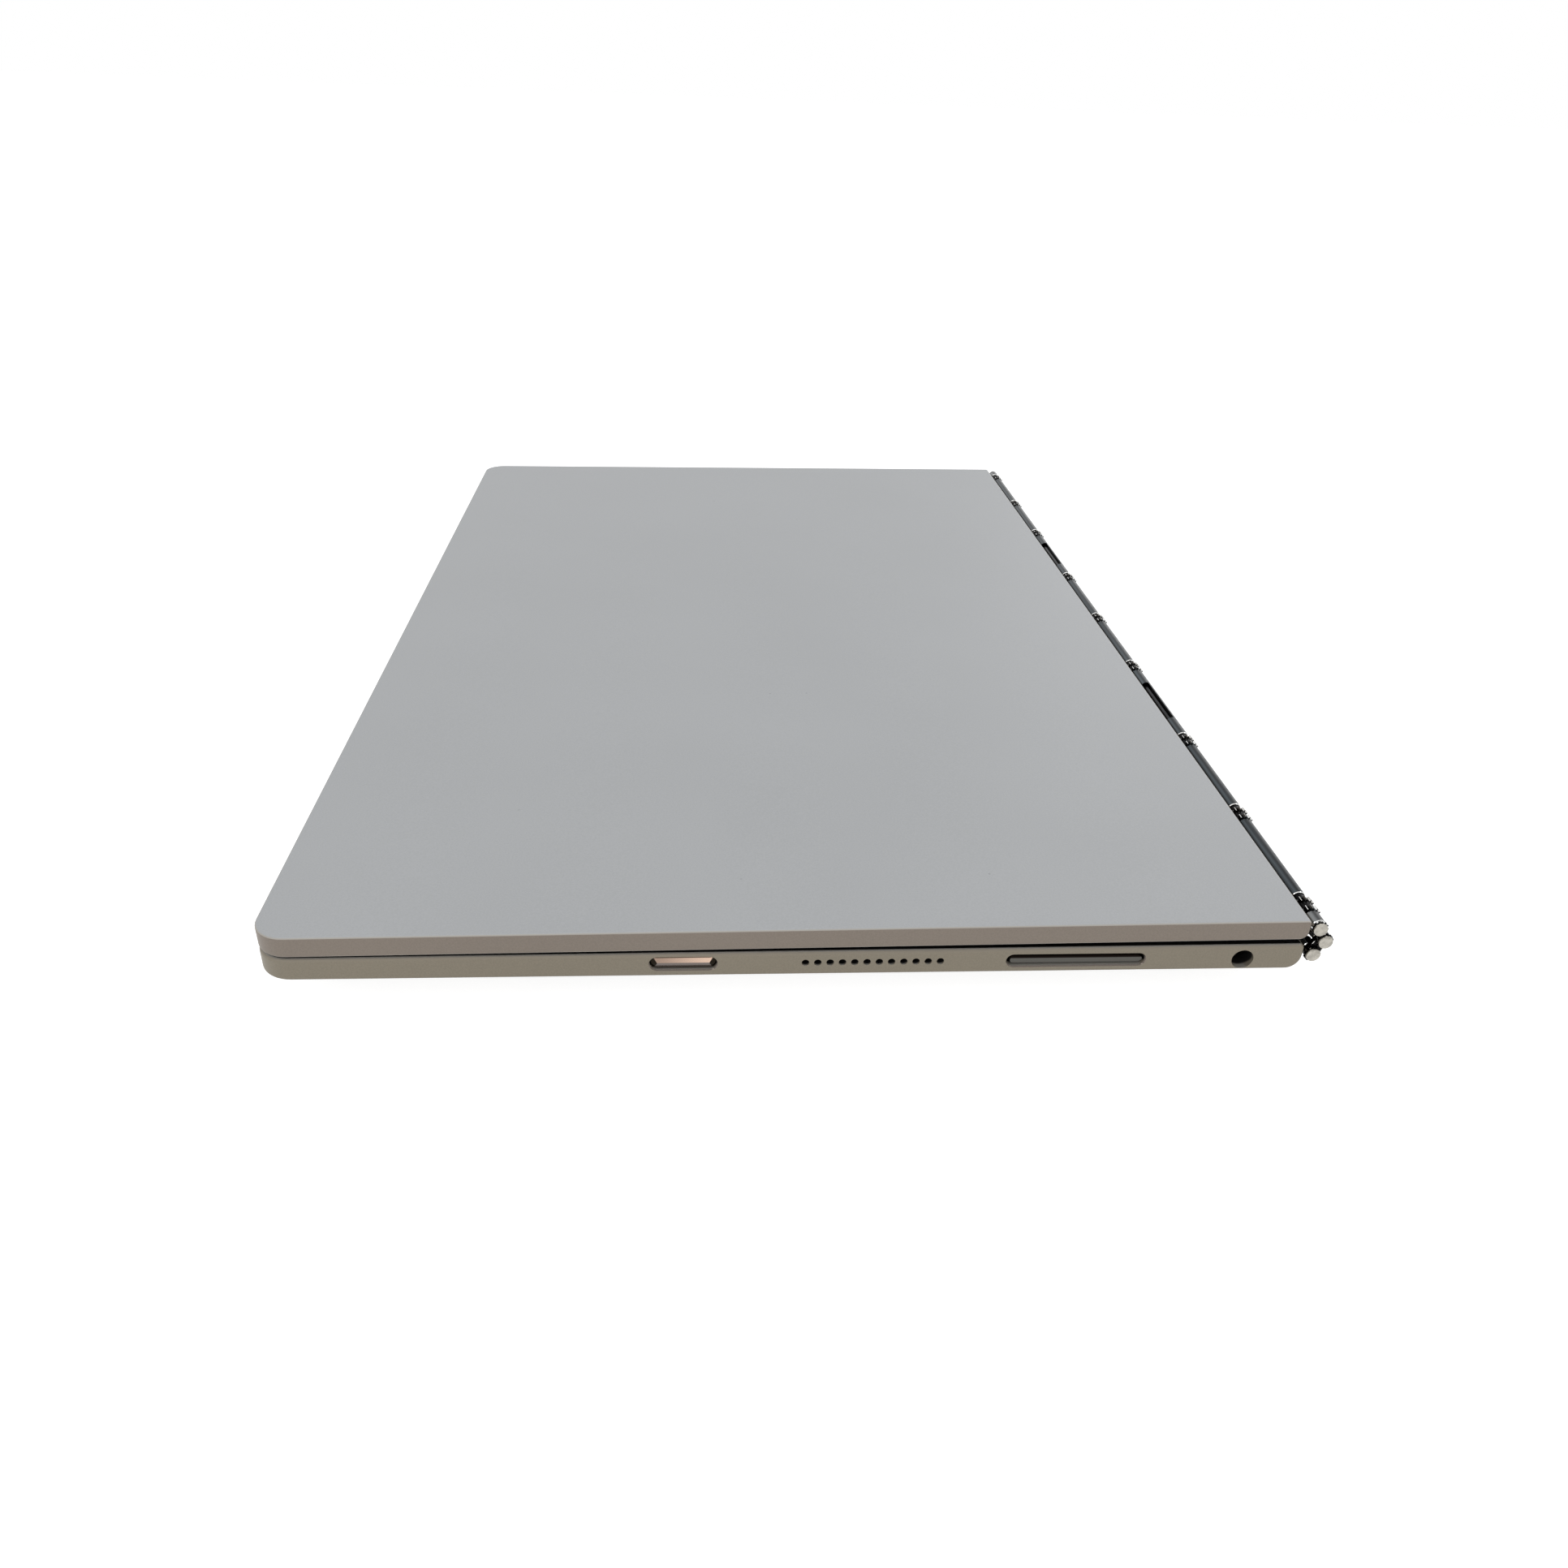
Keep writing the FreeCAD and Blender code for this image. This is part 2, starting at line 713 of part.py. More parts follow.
def deck_z(distance, drop="0"):
    """The height of the sloping deck at a distance behind the front edge, less a drop."""
    rise = "(base_back_height - base_front_height)"
    return f"(base_front_height + {rise} * ({distance}) / panel_depth - ({drop}))"


def mouth_outline(sketch, centre, width, thickness, grow="0"):
    """The six-sided outline of a small socket: square above, drawn in below."""
    half = f"({width} / 2 + {grow})"
    rise = f"({thickness} / 2 + {grow})"
    foot = f"({half} - {thickness} / 2)"
    y, z = centre
    polygon(sketch, [
        (f"{y} - {foot}", f"{z} - {rise}"), (f"{y} + {foot}", f"{z} - {rise}"),
        (f"{y} + {half}", z), (f"{y} + {half}", f"{z} + {rise}"),
        (f"{y} - {half}", f"{z} + {rise}"), (f"{y} - {half}", z),
    ])


def base_hollow(body):
    """Cut the glass bed, the cavity with its hinge rail and the leaf slot."""
    above = "(base_back_height + cut_overshoot)"
    bed = tilted_sketch(body, "glass_bed_outline", DECK, SHEETS_TOP)
    rounded_sheet(bed, (f"-{HALF_WIDTH} + rim_width", "rim_width"),
                  (f"{HALF_WIDTH} - rim_width", "panel_depth - rim_width"), "front_corner_radius - rim_width")
    pocket(body, bed, "glass_bed_cut", backwards=True)
    cavity = sketch_on(body, "cavity_profile", "YZ_Plane")
    polygon(cavity, [
        (from_front(WALL), "floor_thickness"), (RAIL_Y, "floor_thickness"), (RAIL_Y, RAIL_Z),
        (CAVITY_BACK_Y, RAIL_Z), (CAVITY_BACK_Y, above), (from_front(WALL), above),
    ])
    pocket(body, cavity, "cavity_cut", f"2 * {INNER_X}", both_ways=True)
    slot = sketch_on(body, "leaf_slot_profile", "YZ_Plane")
    rectangle(slot, (f"{CAVITY_BACK_Y} - leaf_slot_overlap", RAIL_Z),
              (f"{HINGE_Y}", f"{RAIL_Z} + leaf_thickness + leaf_slot_clearance"))
    pocket(body, slot, "leaf_slot_cut", f"overall_width - 2 * end_length - 2 * {CLUSTER}", both_ways=True)


def is_key_slot_edge(start, end):
    """Whether an edge lies on the right face, on the outline of one of the two key slots."""
    slots = (
        (from_back("power_from_back"), "power_slot_length", "power_height"),
        (from_back("rocker_from_back"), "rocker_slot_length", "rocker_height"),
    )
    for middle, length, height in slots:
        near = [
            close_to(point.x, HALF_WIDTH)
            and abs(point.y - size(middle)) < size(length) / 2
            and abs(point.z - size(height)) < size("rocker_slot_height")
            for point in (start, end)
        ]
        if all(near):
            return True
    return False


def base_openings(body):
    """Cut the openings of both short sides."""
    holes = sketch_on(body, "speaker_hole_outline", "YZ_Plane")
    circle(holes, (from_back("speaker_from_back"), "speaker_height"), "speaker_hole_radius")
    first = pocket(body, holes, "speaker_hole", both_ways=True)
    row = body.newObject("PartDesign::LinearPattern", "speaker_row")
    row.Originals = [first]
    row.Direction = (holes, ["H_Axis"])
    bind(row, {"Length": f"speaker_hole_pitch * {SPEAKER_HOLES - 1}"})
    row.Occurrences = SPEAKER_HOLES
    body.Tip = row
    doc.recompute()
    keys = sketch_on(body, "key_slots", "YZ_Plane", f"{INNER_X} - cut_overshoot")
    pill(keys, (from_back("power_from_back"), "power_height"),
         "power_slot_length", "power_slot_height")
    pill(keys, (from_back("rocker_from_back"), "rocker_height"),
         "rocker_slot_length", "rocker_slot_height")
    pocket(body, keys, "key_slots_cut", backwards=True)
    bevel_edges(body, "key_slot_bevels", "slot_bevel", is_key_slot_edge)
    mouth = sketch_on(body, "jack_mouth", "YZ_Plane", f"{INNER_X} - cut_overshoot")
    circle(mouth, (from_back("jack_from_back"), "jack_height"), "jack_bore_radius")
    pocket(body, mouth, "jack_mouth_cut", backwards=True)
    left = sketch_on(body, "left_openings", "YZ_Plane", f"-{INNER_X} + cut_overshoot")
    pill(left, (from_back("tray_from_back"), "tray_height"), "tray_slot_length", "tray_slot_height")
    mouth_outline(left, (from_back("usb_from_back"), "socket_height"),
                  "usb_width", "usb_thickness", "socket_clearance")
    mouth_outline(left, (from_back("hdmi_from_back"), "socket_height"),
                  "hdmi_width", "hdmi_thickness", "socket_clearance")
    pocket(body, left, "left_openings_cut")


def board_hole_places():
    """The main board's fixing points, as pairs of formulas."""
    columns = (
        f"-{INNER_X} + board_left_gap + board_hole_inset", "0",
        f"{INNER_X} - board_right_gap - board_hole_inset",
    )
    rows = (
        from_back(f"{BOARD_FRONT} - board_hole_inset"),
        from_back("board_from_back + board_hole_inset"),
    )
    return [(x, y) for x in columns for y in rows]


def hinge_screw_barrels():
    """The long barrels that have a leaf, and so a screw."""
    return [index for index in LONG_BARRELS if index not in CABLE_BARRELS]


def base_shell():
    """The metal tray: a wedge with a glass bed, a cavity, a hinge rail and its side openings."""
    body = doc.addObject("PartDesign::Body", "base_shell")
    profile = sketch_on(body, "base_profile", "YZ_Plane")
    polygon(profile, [
        (FRONT_Y, "0"), (BACK_Y, "0"), (BACK_Y, "base_back_height"), (FRONT_Y, "base_front_height"),
    ])
    pad(body, profile, "base_wedge", "overall_width", both_ways=True)
    round_edges(body, "base_front_corners", "front_corner_radius",
                lambda start, end: upright(start, end) and close_to(start.y, FRONT_Y))
    for name, height in (("heel", "0"), ("nape", "base_back_height")):
        round_edges(body, f"base_{name}", f"base_{name}_round",
                    lambda start, end: all(
                        close_to(point.y, BACK_Y) and close_to(point.z, height) for point in (start, end)))
    round_edges(body, "base_outline", "base_edge_round",
                lambda start, end: all(
                    close_to(abs(point.x), HALF_WIDTH) and close_to(point.z, "0") for point in (start, end)))
    base_hollow(body)
    base_openings(body)
    bosses = sketch_on(body, "boss_outlines", "XY_Plane")
    boss_holes = sketch_on(body, "boss_holes", "XY_Plane", "floor_thickness + board_lift")
    for place in board_hole_places():
        circle(bosses, place, "boss_radius")
        circle(boss_holes, place, "screw_radius + screw_hole_clearance")
    pad(body, bosses, "bosses", "floor_thickness + board_lift")
    pocket(body, boss_holes, "boss_holes_cut", "board_screw_depth")
    rail_holes = sketch_on(body, "rail_holes", "XY_Plane", RAIL_Z)
    for index in hinge_screw_barrels():
        x = f"{barrel_x(index)} + {LONG_BARREL} / 2"
        circle(rail_holes, (x, f"{BACK_Y} - hinge_screw_setback"), "screw_radius + screw_hole_clearance")
    pocket(body, rail_holes, "rail_holes_cut", "hinge_screw_depth")
    relief = sketch_on(body, "jack_relief", "XY_Plane", "floor_thickness")
    half = "(jack_bore_radius + jack_side_wall + glass_clearance)"
    rectangle(relief,
              (f"{INNER_X} - jack_bore_length - jack_back - glass_clearance",
               f"{from_back('jack_from_back')} - {half}"),
              (INNER_X, f"{from_back('jack_from_back')} + {half}"))
    pocket(body, relief, "jack_relief_cut",
           "floor_thickness - jack_height + jack_bore_radius + jack_wall + running_clearance")
    keep("base_shell", body)


def deck_stack():
    """The touch-keyboard glass and the sheets beneath it."""
    inset = "(rim_width + glass_clearance)"
    glass = plate("keyboard_glass", DECK,
                  (f"-{HALF_WIDTH} + {inset}", inset, "-glass_thickness"),
                  (f"{HALF_WIDTH} - {inset}", f"panel_depth - {inset}", "0"),
                  f"front_corner_radius - {inset}")
    window = sketch_on(glass, "camera_opening", "XY_Plane")
    circle(window, (f"{HALF_WIDTH} - camera_from_side", "panel_depth - camera_from_back"),
           "camera_window_radius + camera_window_clearance")
    pocket(glass, window, "camera_opening_cut", both_ways=True)
    top = SHEETS_TOP
    for label, thickness in (
        ("digitizer", "digitizer_thickness"),
        ("key_light_guide", "light_guide_thickness"),
        ("deck_plate", "deck_plate_thickness"),
    ):
        low = f"{top} - {thickness}"
        sheet_body = plate(label, DECK,
                           (f"-{HALF_WIDTH} + sheet_margin", "sheet_front", low),
                           (f"{HALF_WIDTH} - sheet_margin", "panel_depth - sheet_back", top))
        top = f"({low} - sheet_gap)"
    openings = sketch_on(sheet_body, "plate_windows", "XY_Plane")
    low_y = "sheet_front + deck_plate_end"
    high_y = "panel_depth - sheet_back - deck_plate_end"
    edge = f"({SHEET_WIDTH} / 2 - deck_plate_bar)"
    rectangle(openings, (f"-{edge}", low_y), ("-deck_plate_bar / 2", high_y))
    rectangle(openings, ("deck_plate_bar / 2", low_y), (edge, high_y))
    pocket(sheet_body, openings, "plate_windows_cut", both_ways=True)


def battery():
    """Two flat cells and the protection board behind them."""
    for side, label in ((-1, "battery_left"), (1, "battery_right")):
        body = doc.addObject("PartDesign::Body", label)
        outline = sketch_on(body, f"{label}_outline", "XY_Plane", "floor_thickness")
        near = f"{side} * battery_spacing / 2"
        far = f"{side} * ({INNER_X} - battery_side_gap)"
        low, high = (near, far) if side > 0 else (far, near)
        rectangle(outline, (low, BATTERY_FRONT_Y), (high, f"{BATTERY_FRONT_Y} + {BATTERY_LENGTH}"))
        pad(body, outline, f"{label}_cell", "battery_thickness")
        round_edges(body, f"{label}_round", "battery_round",
                    lambda start, end: abs(start.y - end.y) > TOLERANCE)
        keep(label, body)
    keep("battery_board", box("battery_board", WORLD, (
        "-battery_board_length / 2",
        f"{BATTERY_FRONT_Y} + {BATTERY_LENGTH} + battery_board_gap",
        "floor_thickness",
    ), ("battery_board_length", "battery_board_depth", "battery_board_thickness")))


def main_board():
    """The main board on its bosses, its screws, chips, shields and heat spreader."""
    low_z = "floor_thickness + board_lift"
    board = plate("main_board", WORLD,
                  (f"-{INNER_X} + board_left_gap", from_back(BOARD_FRONT), low_z),
                  (f"{INNER_X} - board_right_gap", from_back("board_from_back"),
                   f"{low_z} + board_thickness"))
    holes = sketch_on(board, "board_holes", "XY_Plane", low_z)
    for place in board_hole_places():
        circle(holes, place, "screw_radius + screw_hole_clearance")
    pocket(board, holes, "board_holes_cut", backwards=True)
    screws = []
    for index, (x, y) in enumerate(board_hole_places()):
        length = "board_thickness + board_screw_depth"
        shank = disc(f"board_screw_shank_{index}", WORLD,
                     (x, y, f"{low_z} - board_screw_depth"), "screw_radius", length)
        head = disc(f"board_screw_head_{index}", WORLD, (x, y, BOARD_TOP),
                    "screw_head_radius", "screw_head_height")
        screws.append(joined(f"board_screw_{index}", [shank, head]))
    group("board_screws", screws)
    middle = from_back("board_from_back + board_depth / 2")
    keep("processor", box("processor", WORLD, (
        "-chip_offset - processor_side / 2", f"{middle} - processor_side / 2", BOARD_TOP,
    ), ("processor_side", "processor_side", "processor_thickness")))
    group("memory_chips", [
        box(f"memory_chip_{index}", WORLD, (
            f"-chip_offset + memory_spacing * {side} - memory_length / 2",
            f"{middle} - memory_width / 2", BOARD_TOP,
        ), ("memory_length", "memory_width", "memory_thickness"))
        for index, side in enumerate((-1, 1))
    ])
    for label, centre, length in (
        ("processor_shield", "-chip_offset", "shield_length"),
        ("radio_shield", "radio_offset", "radio_shield_length"),
    ):
        outer = box(f"{label}_outside", WORLD, (
            f"{centre} - {length} / 2", f"{middle} - shield_depth / 2", BOARD_TOP,
        ), (length, "shield_depth", "shield_thickness"))
        inner = box(f"{label}_inside", WORLD, (
            f"{centre} - {length} / 2 + shield_skin", f"{middle} - shield_depth / 2 + shield_skin", BOARD_TOP,
        ), (
            f"{length} - 2 * shield_skin", "shield_depth - 2 * shield_skin", "shield_thickness - shield_skin",
        ))
        keep(label, minus(label, outer, inner))
    keep("heat_spreader", box("heat_spreader", WORLD, (
        "-chip_offset - spreader_length / 2", f"{middle} - spreader_depth / 2",
        f"{BOARD_TOP} + shield_thickness",
    ), ("spreader_length", "spreader_depth", "spreader_thickness")))


def speakers():
    """A speaker box with a horn towards each short side, and the meshes behind the holes."""
    row = f"(speaker_hole_pitch * {SPEAKER_HOLES - 1})"
    centre = from_back(f"speaker_from_back - {row} / 2")
    meshes = []
    for side, label in ((-1, "speaker_left"), (1, "speaker_right")):
        face = f"({INNER_X} - mesh_thickness)"
        low_x = f"{face} - speaker_depth" if side > 0 else f"-{face}"
        outer = box(f"{label}_case", WORLD, (low_x, f"{centre} - speaker_length / 2", "floor_thickness"),
                    ("speaker_depth", "speaker_length", "speaker_thickness"))
        horn_x = f"{face} - speaker_horn_depth" if side > 0 else f"-{face}"
        horn_z = "floor_thickness + (speaker_thickness - speaker_horn_height) / 2"
        horn = box(f"{label}_horn", WORLD, (horn_x, f"{centre} - {row} / 2 - speaker_hole_radius", horn_z),
                   ("speaker_horn_depth", f"{row} + 2 * speaker_hole_radius", "speaker_horn_height"))
        keep(label, minus(label, outer, horn))
        mesh_x = face if side > 0 else f"-{INNER_X}"
        meshes.append(box(f"{label}_mesh", WORLD, (
            mesh_x, f"{centre} - {row} / 2 - mesh_overlap", "speaker_height - mesh_height / 2",
        ), ("mesh_thickness", f"{row} + 2 * mesh_overlap", "mesh_height")))
    group("speaker_meshes", meshes)


def small_modules():
    """Haptic motors, rear camera, antennas, magnets and the display cables' base ends."""
    group("haptic_motors", [
        disc(f"haptic_motor_{index}", WORLD, (
            f"{side} * ({HALF_WIDTH} - haptic_from_side)", from_back("haptic_from_back"), "floor_thickness",
        ), "haptic_radius", "haptic_thickness")
        for index, side in enumerate((-1, 1))
    ])
    camera_x = f"({HALF_WIDTH} - camera_from_side)"
    camera_y = from_back("camera_from_back")
    body = box("camera_body", WORLD, (
        f"{camera_x} - camera_side / 2", f"{camera_y} - camera_side / 2", "floor_thickness",
    ), ("camera_side", "camera_side", "camera_body_height"))
    window_low = deck_z("panel_depth - camera_from_back - camera_window_radius",
                        "glass_thickness + camera_window_gap")
    barrel = disc("camera_barrel", WORLD, (camera_x, camera_y, "floor_thickness"),
                  "camera_barrel_radius", f"{window_low} - floor_thickness")
    keep("rear_camera", joined("rear_camera", [body, barrel]))
    keep("rear_camera_window", disc("rear_camera_window", DECK, (
        camera_x, "panel_depth - camera_from_back", "-glass_thickness",
    ), "camera_window_radius", "glass_thickness"))
    group("antennas", [
        box(f"antenna_{index}", WORLD, (
            f"{side} * ({HALF_WIDTH} - antenna_from_side) - antenna_length / 2",
            f"{BACK_Y} - antenna_from_back", "floor_thickness",
        ), ("antenna_length", "antenna_depth", "antenna_thickness"))
        for index, side in enumerate((-1, 1))
    ])
    group("base_magnets", [
        box(f"base_magnet_{index}", WORLD, (
            f"{side} * ({HALF_WIDTH} - magnet_from_side) - magnet_length / 2",
            from_front(f"{WALL} + magnet_clearance"), "floor_thickness",
        ), ("magnet_length", "magnet_depth", "magnet_thickness"))
        for index, side in enumerate((-1, 1))
    ])
    group("base_display_cables", [
        box(f"base_display_cable_{index}", WORLD, (
            f"{barrel_x(index)} + {CABLE_BARREL} / 2 - cable_width / 2",
            f"{BACK_Y} - base_cable_end - base_cable_length", f"{RAIL_Z} + cable_lift",
        ), ("cable_width", "base_cable_length", "cable_thickness"))
        for index in CABLE_BARRELS
    ])


def headphone_jack():
    """A socket with a blind round bore that opens through the right wall."""
    y = from_back("jack_from_back")
    face = INNER_X
    half = "(jack_bore_radius + jack_side_wall)"
    rise = "(jack_bore_radius + jack_wall)"
    block = box("jack_block", WORLD, (
        f"{face} - jack_bore_length - jack_back", f"{y} - {half}", f"jack_height - {rise}",
    ), ("jack_bore_length + jack_back", f"2 * {half}", f"2 * {rise}"))
    bore = rod("jack_bore", WORLD, (f"{face} - jack_bore_length", y, "jack_height"),
               "jack_bore_radius", "jack_bore_length")
    keep("headphone_jack", minus("headphone_jack", block, bore))


def side_sockets():
    """The two sockets of the left side and the small board that carries them."""
    mouth = f"(-{HALF_WIDTH} + socket_recess)"
    for label, place, width, thickness in (
        ("usb_socket", "usb_from_back", "usb_width", "usb_thickness"),
        ("hdmi_socket", "hdmi_from_back", "hdmi_width", "hdmi_thickness"),
    ):
        centre = (from_back(place), "socket_height")
        body = doc.addObject("PartDesign::Body", label)
        outside = sketch_on(body, f"{label}_outside", "YZ_Plane", mouth)
        mouth_outline(outside, centre, width, thickness)
        pad(body, outside, f"{label}_can", "socket_depth")
        inside = sketch_on(body, f"{label}_inside", "YZ_Plane", mouth)
        mouth_outline(inside, centre, width, thickness, "(-socket_skin)")
        pocket(body, inside, f"{label}_mouth", "socket_depth - socket_skin", backwards=True)
        tongue = sketch_on(body, f"{label}_tongue", "YZ_Plane", f"{mouth} + socket_tongue_inset")
        half = f"({width} / 2 - socket_tongue_inset)"
        lift = "socket_tongue_thickness / 2"
        rectangle(tongue, (f"{centre[0]} - {half}", f"{centre[1]} - {lift}"),
                  (f"{centre[0]} + {half}", f"{centre[1]} + {lift}"))
        pad(body, tongue, f"{label}_tongue_bar", "socket_depth - socket_tongue_inset")
        keep(label, body)
    low_y = from_back("hdmi_from_back + hdmi_width / 2 + port_board_overhang")
    high_y = from_back("usb_from_back - usb_width / 2")
    top = "(socket_height - hdmi_thickness / 2)"
    keep("port_board", box("port_board", WORLD, (
        f"-{INNER_X} + axial_clearance", low_y, "floor_thickness",
    ), ("port_board_depth", f"{high_y} - {low_y}", f"{top} - floor_thickness")))


def card_slot():
    """The card tray, pulled out to the left, and the reader that guides it."""
    y = from_back("tray_from_back")
    face = f"(-{HALF_WIDTH} + face_recess)"
    tray = doc.addObject("PartDesign::Body", "card_tray")
    front = sketch_on(tray, "tray_face", "YZ_Plane", face)
    pill(front, (y, "tray_height"), "tray_slot_length - 2 * tray_face_clearance",
         "tray_slot_height - 2 * tray_face_clearance")
    pad(tray, front, "tray_face_bar", "tray_face_depth")
    tongue = sketch_on(tray, "tray_section", "YZ_Plane", face)
    rectangle(tongue, (f"{y} - tray_width / 2", "tray_height - tray_thickness / 2"),
              (f"{y} + tray_width / 2", "tray_height + tray_thickness / 2"))
    pad(tray, tongue, "tray_tongue", "tray_length")
    window = sketch_on(tray, "tray_window", "XY_Plane")
    low_x = f"({face} + tray_face_depth + tray_frame)"
    rectangle(window, (low_x, f"{y} - tray_width / 2 + tray_frame"),
              (f"{face} + tray_length - tray_frame", f"{y} + tray_width / 2 - tray_frame"))
    pocket(tray, window, "tray_window_cut", both_ways=True)
    pin = sketch_on(tray, "tray_pin_hole", "YZ_Plane", face)
    circle(pin, (f"{y} + tray_pin_hole_offset", "tray_height"), "tray_pin_hole_radius")
    pocket(tray, pin, "tray_pin_hole_cut", "tray_face_depth / 2", backwards=True)
    keep("card_tray", tray)
    half = "(tray_width / 2 + reader_clearance)"
    rise = "(tray_thickness / 2 + reader_clearance)"
    low_x = f"(-{INNER_X} + reader_clearance)"
    block = box("reader_block", WORLD, (low_x, f"{y} - {half} - reader_wall", "floor_thickness"), (
        "reader_length", f"2 * ({half} + reader_wall)",
        f"tray_height + {rise} + reader_skin - floor_thickness",
    ))
    throat = box("reader_throat", WORLD, (low_x, f"{y} - {half}", f"tray_height - {rise}"),
                 ("reader_length - reader_wall", f"2 * {half}", f"2 * {rise}"))
    keep("card_reader", minus("card_reader", block, throat))


def side_keys():
    """The power button and the volume rocker with their switches and the rocker's pin."""
    outer = f"({HALF_WIDTH} - face_recess)"
    y = from_back("power_from_back")
    tail = f"({INNER_X} - axial_clearance)"
    button = doc.addObject("PartDesign::Body", "power_button")
    head = sketch_on(button, "power_button_face", "YZ_Plane", tail)
    pill(head, (y, "power_height"), "power_slot_length - 2 * button_clearance",
         "power_slot_height - 2 * button_clearance")
    pad(button, head, "power_button_head", f"{outer} - {tail}")
    bevel_edges(button, "power_button_ridge", "power_ridge_rise",
                lambda start, end: close_to(start.x, outer) and close_to(end.x, outer),
                "power_ridge_slope")
    flange = sketch_on(button, "power_button_flange", "YZ_Plane", tail)
    rectangle(flange,
              (f"{y} - power_slot_length / 2 - power_flange_overlap",
               "power_height - power_slot_height / 2 + button_clearance"),
              (f"{y} + power_slot_length / 2 + power_flange_overlap",
               "power_height + power_slot_height / 2 - button_clearance"))
    pad(button, flange, "power_button_stop", "power_flange_thickness", backwards=True)
    keep("power_button", button)
    reach = f"({tail} - power_flange_thickness - power_travel - switch_gap)"
    switch = box("power_switch_body", WORLD, (
        f"{reach} - switch_depth", f"{y} - switch_width / 2", "power_height - switch_thickness / 2",
    ), ("switch_depth", "switch_width", "switch_thickness"))
    stand = box("power_switch_stand", WORLD, (
        f"{reach} - switch_depth - switch_base_depth", f"{y} - switch_width", "floor_thickness",
    ), ("switch_base_depth", "2 * switch_width", "power_height - floor_thickness"))
    keep("power_switch", joined("power_switch", [switch, stand]))

    y = from_back("rocker_from_back")
    face = f"({HALF_WIDTH} - rocker_recess)"
    tail = f"({INNER_X} - rocker_tail)"
    rocker = doc.addObject("PartDesign::Body", "volume_rocker")
    bar = sketch_on(rocker, "rocker_face", "YZ_Plane", tail)
    pill(bar, (f"{y} + (rocker_front_gap - button_clearance) / 2",
               "rocker_height - (rocker_top_gap - button_clearance) / 2"),
         "rocker_slot_length - rocker_front_gap - button_clearance",
         "rocker_slot_height - rocker_top_gap - button_clearance")
    pad(rocker, bar, "rocker_bar", f"{face} - {tail}")
    bevel_edges(rocker, "rocker_bevel_cut", "rocker_bevel",
                lambda start, end: close_to(start.x, face) and close_to(end.x, face))
    eye = sketch_on(rocker, "rocker_eye", "XY_Plane")
    pin_x = f"({INNER_X} + rim_width / 2)"
    circle(eye, (pin_x, y), "rocker_pin_radius + running_clearance")
    pocket(rocker, eye, "rocker_eye_cut", both_ways=True)
    keep("volume_rocker", rocker)
    half = "(rocker_slot_height / 2)"
    keep("rocker_pin", disc("rocker_pin", WORLD, (pin_x, y, f"rocker_height - {half}"),
                            "rocker_pin_radius", f"2 * {half}"))
    reach = f"({tail} - rocker_swing - switch_gap)"
    pieces = [box("rocker_switch_stand", WORLD, (
        f"{reach} - switch_depth - switch_base_depth", f"{y} - rocker_slot_length / 2", "floor_thickness",
    ), ("switch_base_depth", "rocker_slot_length", "rocker_height - floor_thickness"))]
    for side in (-1, 1):
        pieces.append(box(f"rocker_switch_{side + 1}", WORLD, (
            f"{reach} - switch_depth",
            f"{y} + {side} * rocker_switch_spacing / 2 - switch_width / 2",
            "rocker_height - switch_thickness / 2",
        ), ("switch_depth", "switch_width", "switch_thickness")))
    keep("volume_switches", joined("volume_switches", pieces))


# Hinge


def left_step(neck, width, tip):
    """A turned wheel blank on a neck at a barrel's left end, as (x, radius) formulas."""
    return [
        (f"-({neck} + {width})", BORE), (f"-({neck} + {width})", tip), (f"-({neck})", tip),
        (f"-({neck})", GEAR_ROOT), ("0", GEAR_ROOT),
    ]


def right_step(length, neck, width, tip):
    """The same at a barrel's right end."""
    return [
        (length, GEAR_ROOT), (f"{length} + {neck}", GEAR_ROOT), (f"{length} + {neck}", tip),
        (f"{length} + {neck} + {width}", tip), (f"{length} + {neck} + {width}", BORE),
    ]


def barrel(name, length, left=None, right=None):
    """A bored barrel with chamfered ends and whatever is turned on either end."""
    body_part = [
        ("0", f"{BARREL} - barrel_chamfer"), ("barrel_chamfer", BARREL),
        (f"{length} - barrel_chamfer", BARREL), (length, f"{BARREL} - barrel_chamfer"),
    ]
    return turned(name, (left or [("0", BORE)]) + body_part + (right or [(length, BORE)]))


def add_leaf(body, name, length):
    """The flat leaf that runs from a barrel into the wall, with one screw hole."""
    section = sketch_on(body, f"{name}_leaf", "YZ_Plane", "leaf_inset")
    wall_middle = f"(({BORE} + {BARREL}) / 2)"
    rectangle(section, (f"-{EDGE_GAP} - leaf_depth", "-leaf_thickness / 2"),
              (f"-{wall_middle}", "leaf_thickness / 2"))
    pad(body, section, f"{name}_leaf_bar", f"{length} - 2 * leaf_inset")
    hole = sketch_on(body, f"{name}_leaf_hole", "XY_Plane")
    circle(hole, (f"{length} / 2", f"-{EDGE_GAP} - hinge_screw_setback"),
           "screw_radius + screw_hole_clearance")
    pocket(body, hole, f"{name}_leaf_hole_cut", both_ways=True)


NECK = "(axial_clearance)"
LONG_NECK = "(2 * axial_clearance + gear_width + plate_width)"
PLATE_NECK = "(axial_clearance + plate_width)"
SHORT_END = f"({END_BARREL} - end_plate_width)"
# The first tooth gap, in degrees from +Y: middle wheels stand half a tooth off the outer ones.
OUTER_GAP = HALF_TOOTH
MIDDLE_GAP = 0


def plate_neck(length):
    """A plain neck through the plate's slot at a barrel's right end."""
    end = f"{length} + {PLATE_NECK}"
    return [(length, GEAR_ROOT), (end, GEAR_ROOT), (end, BORE)]


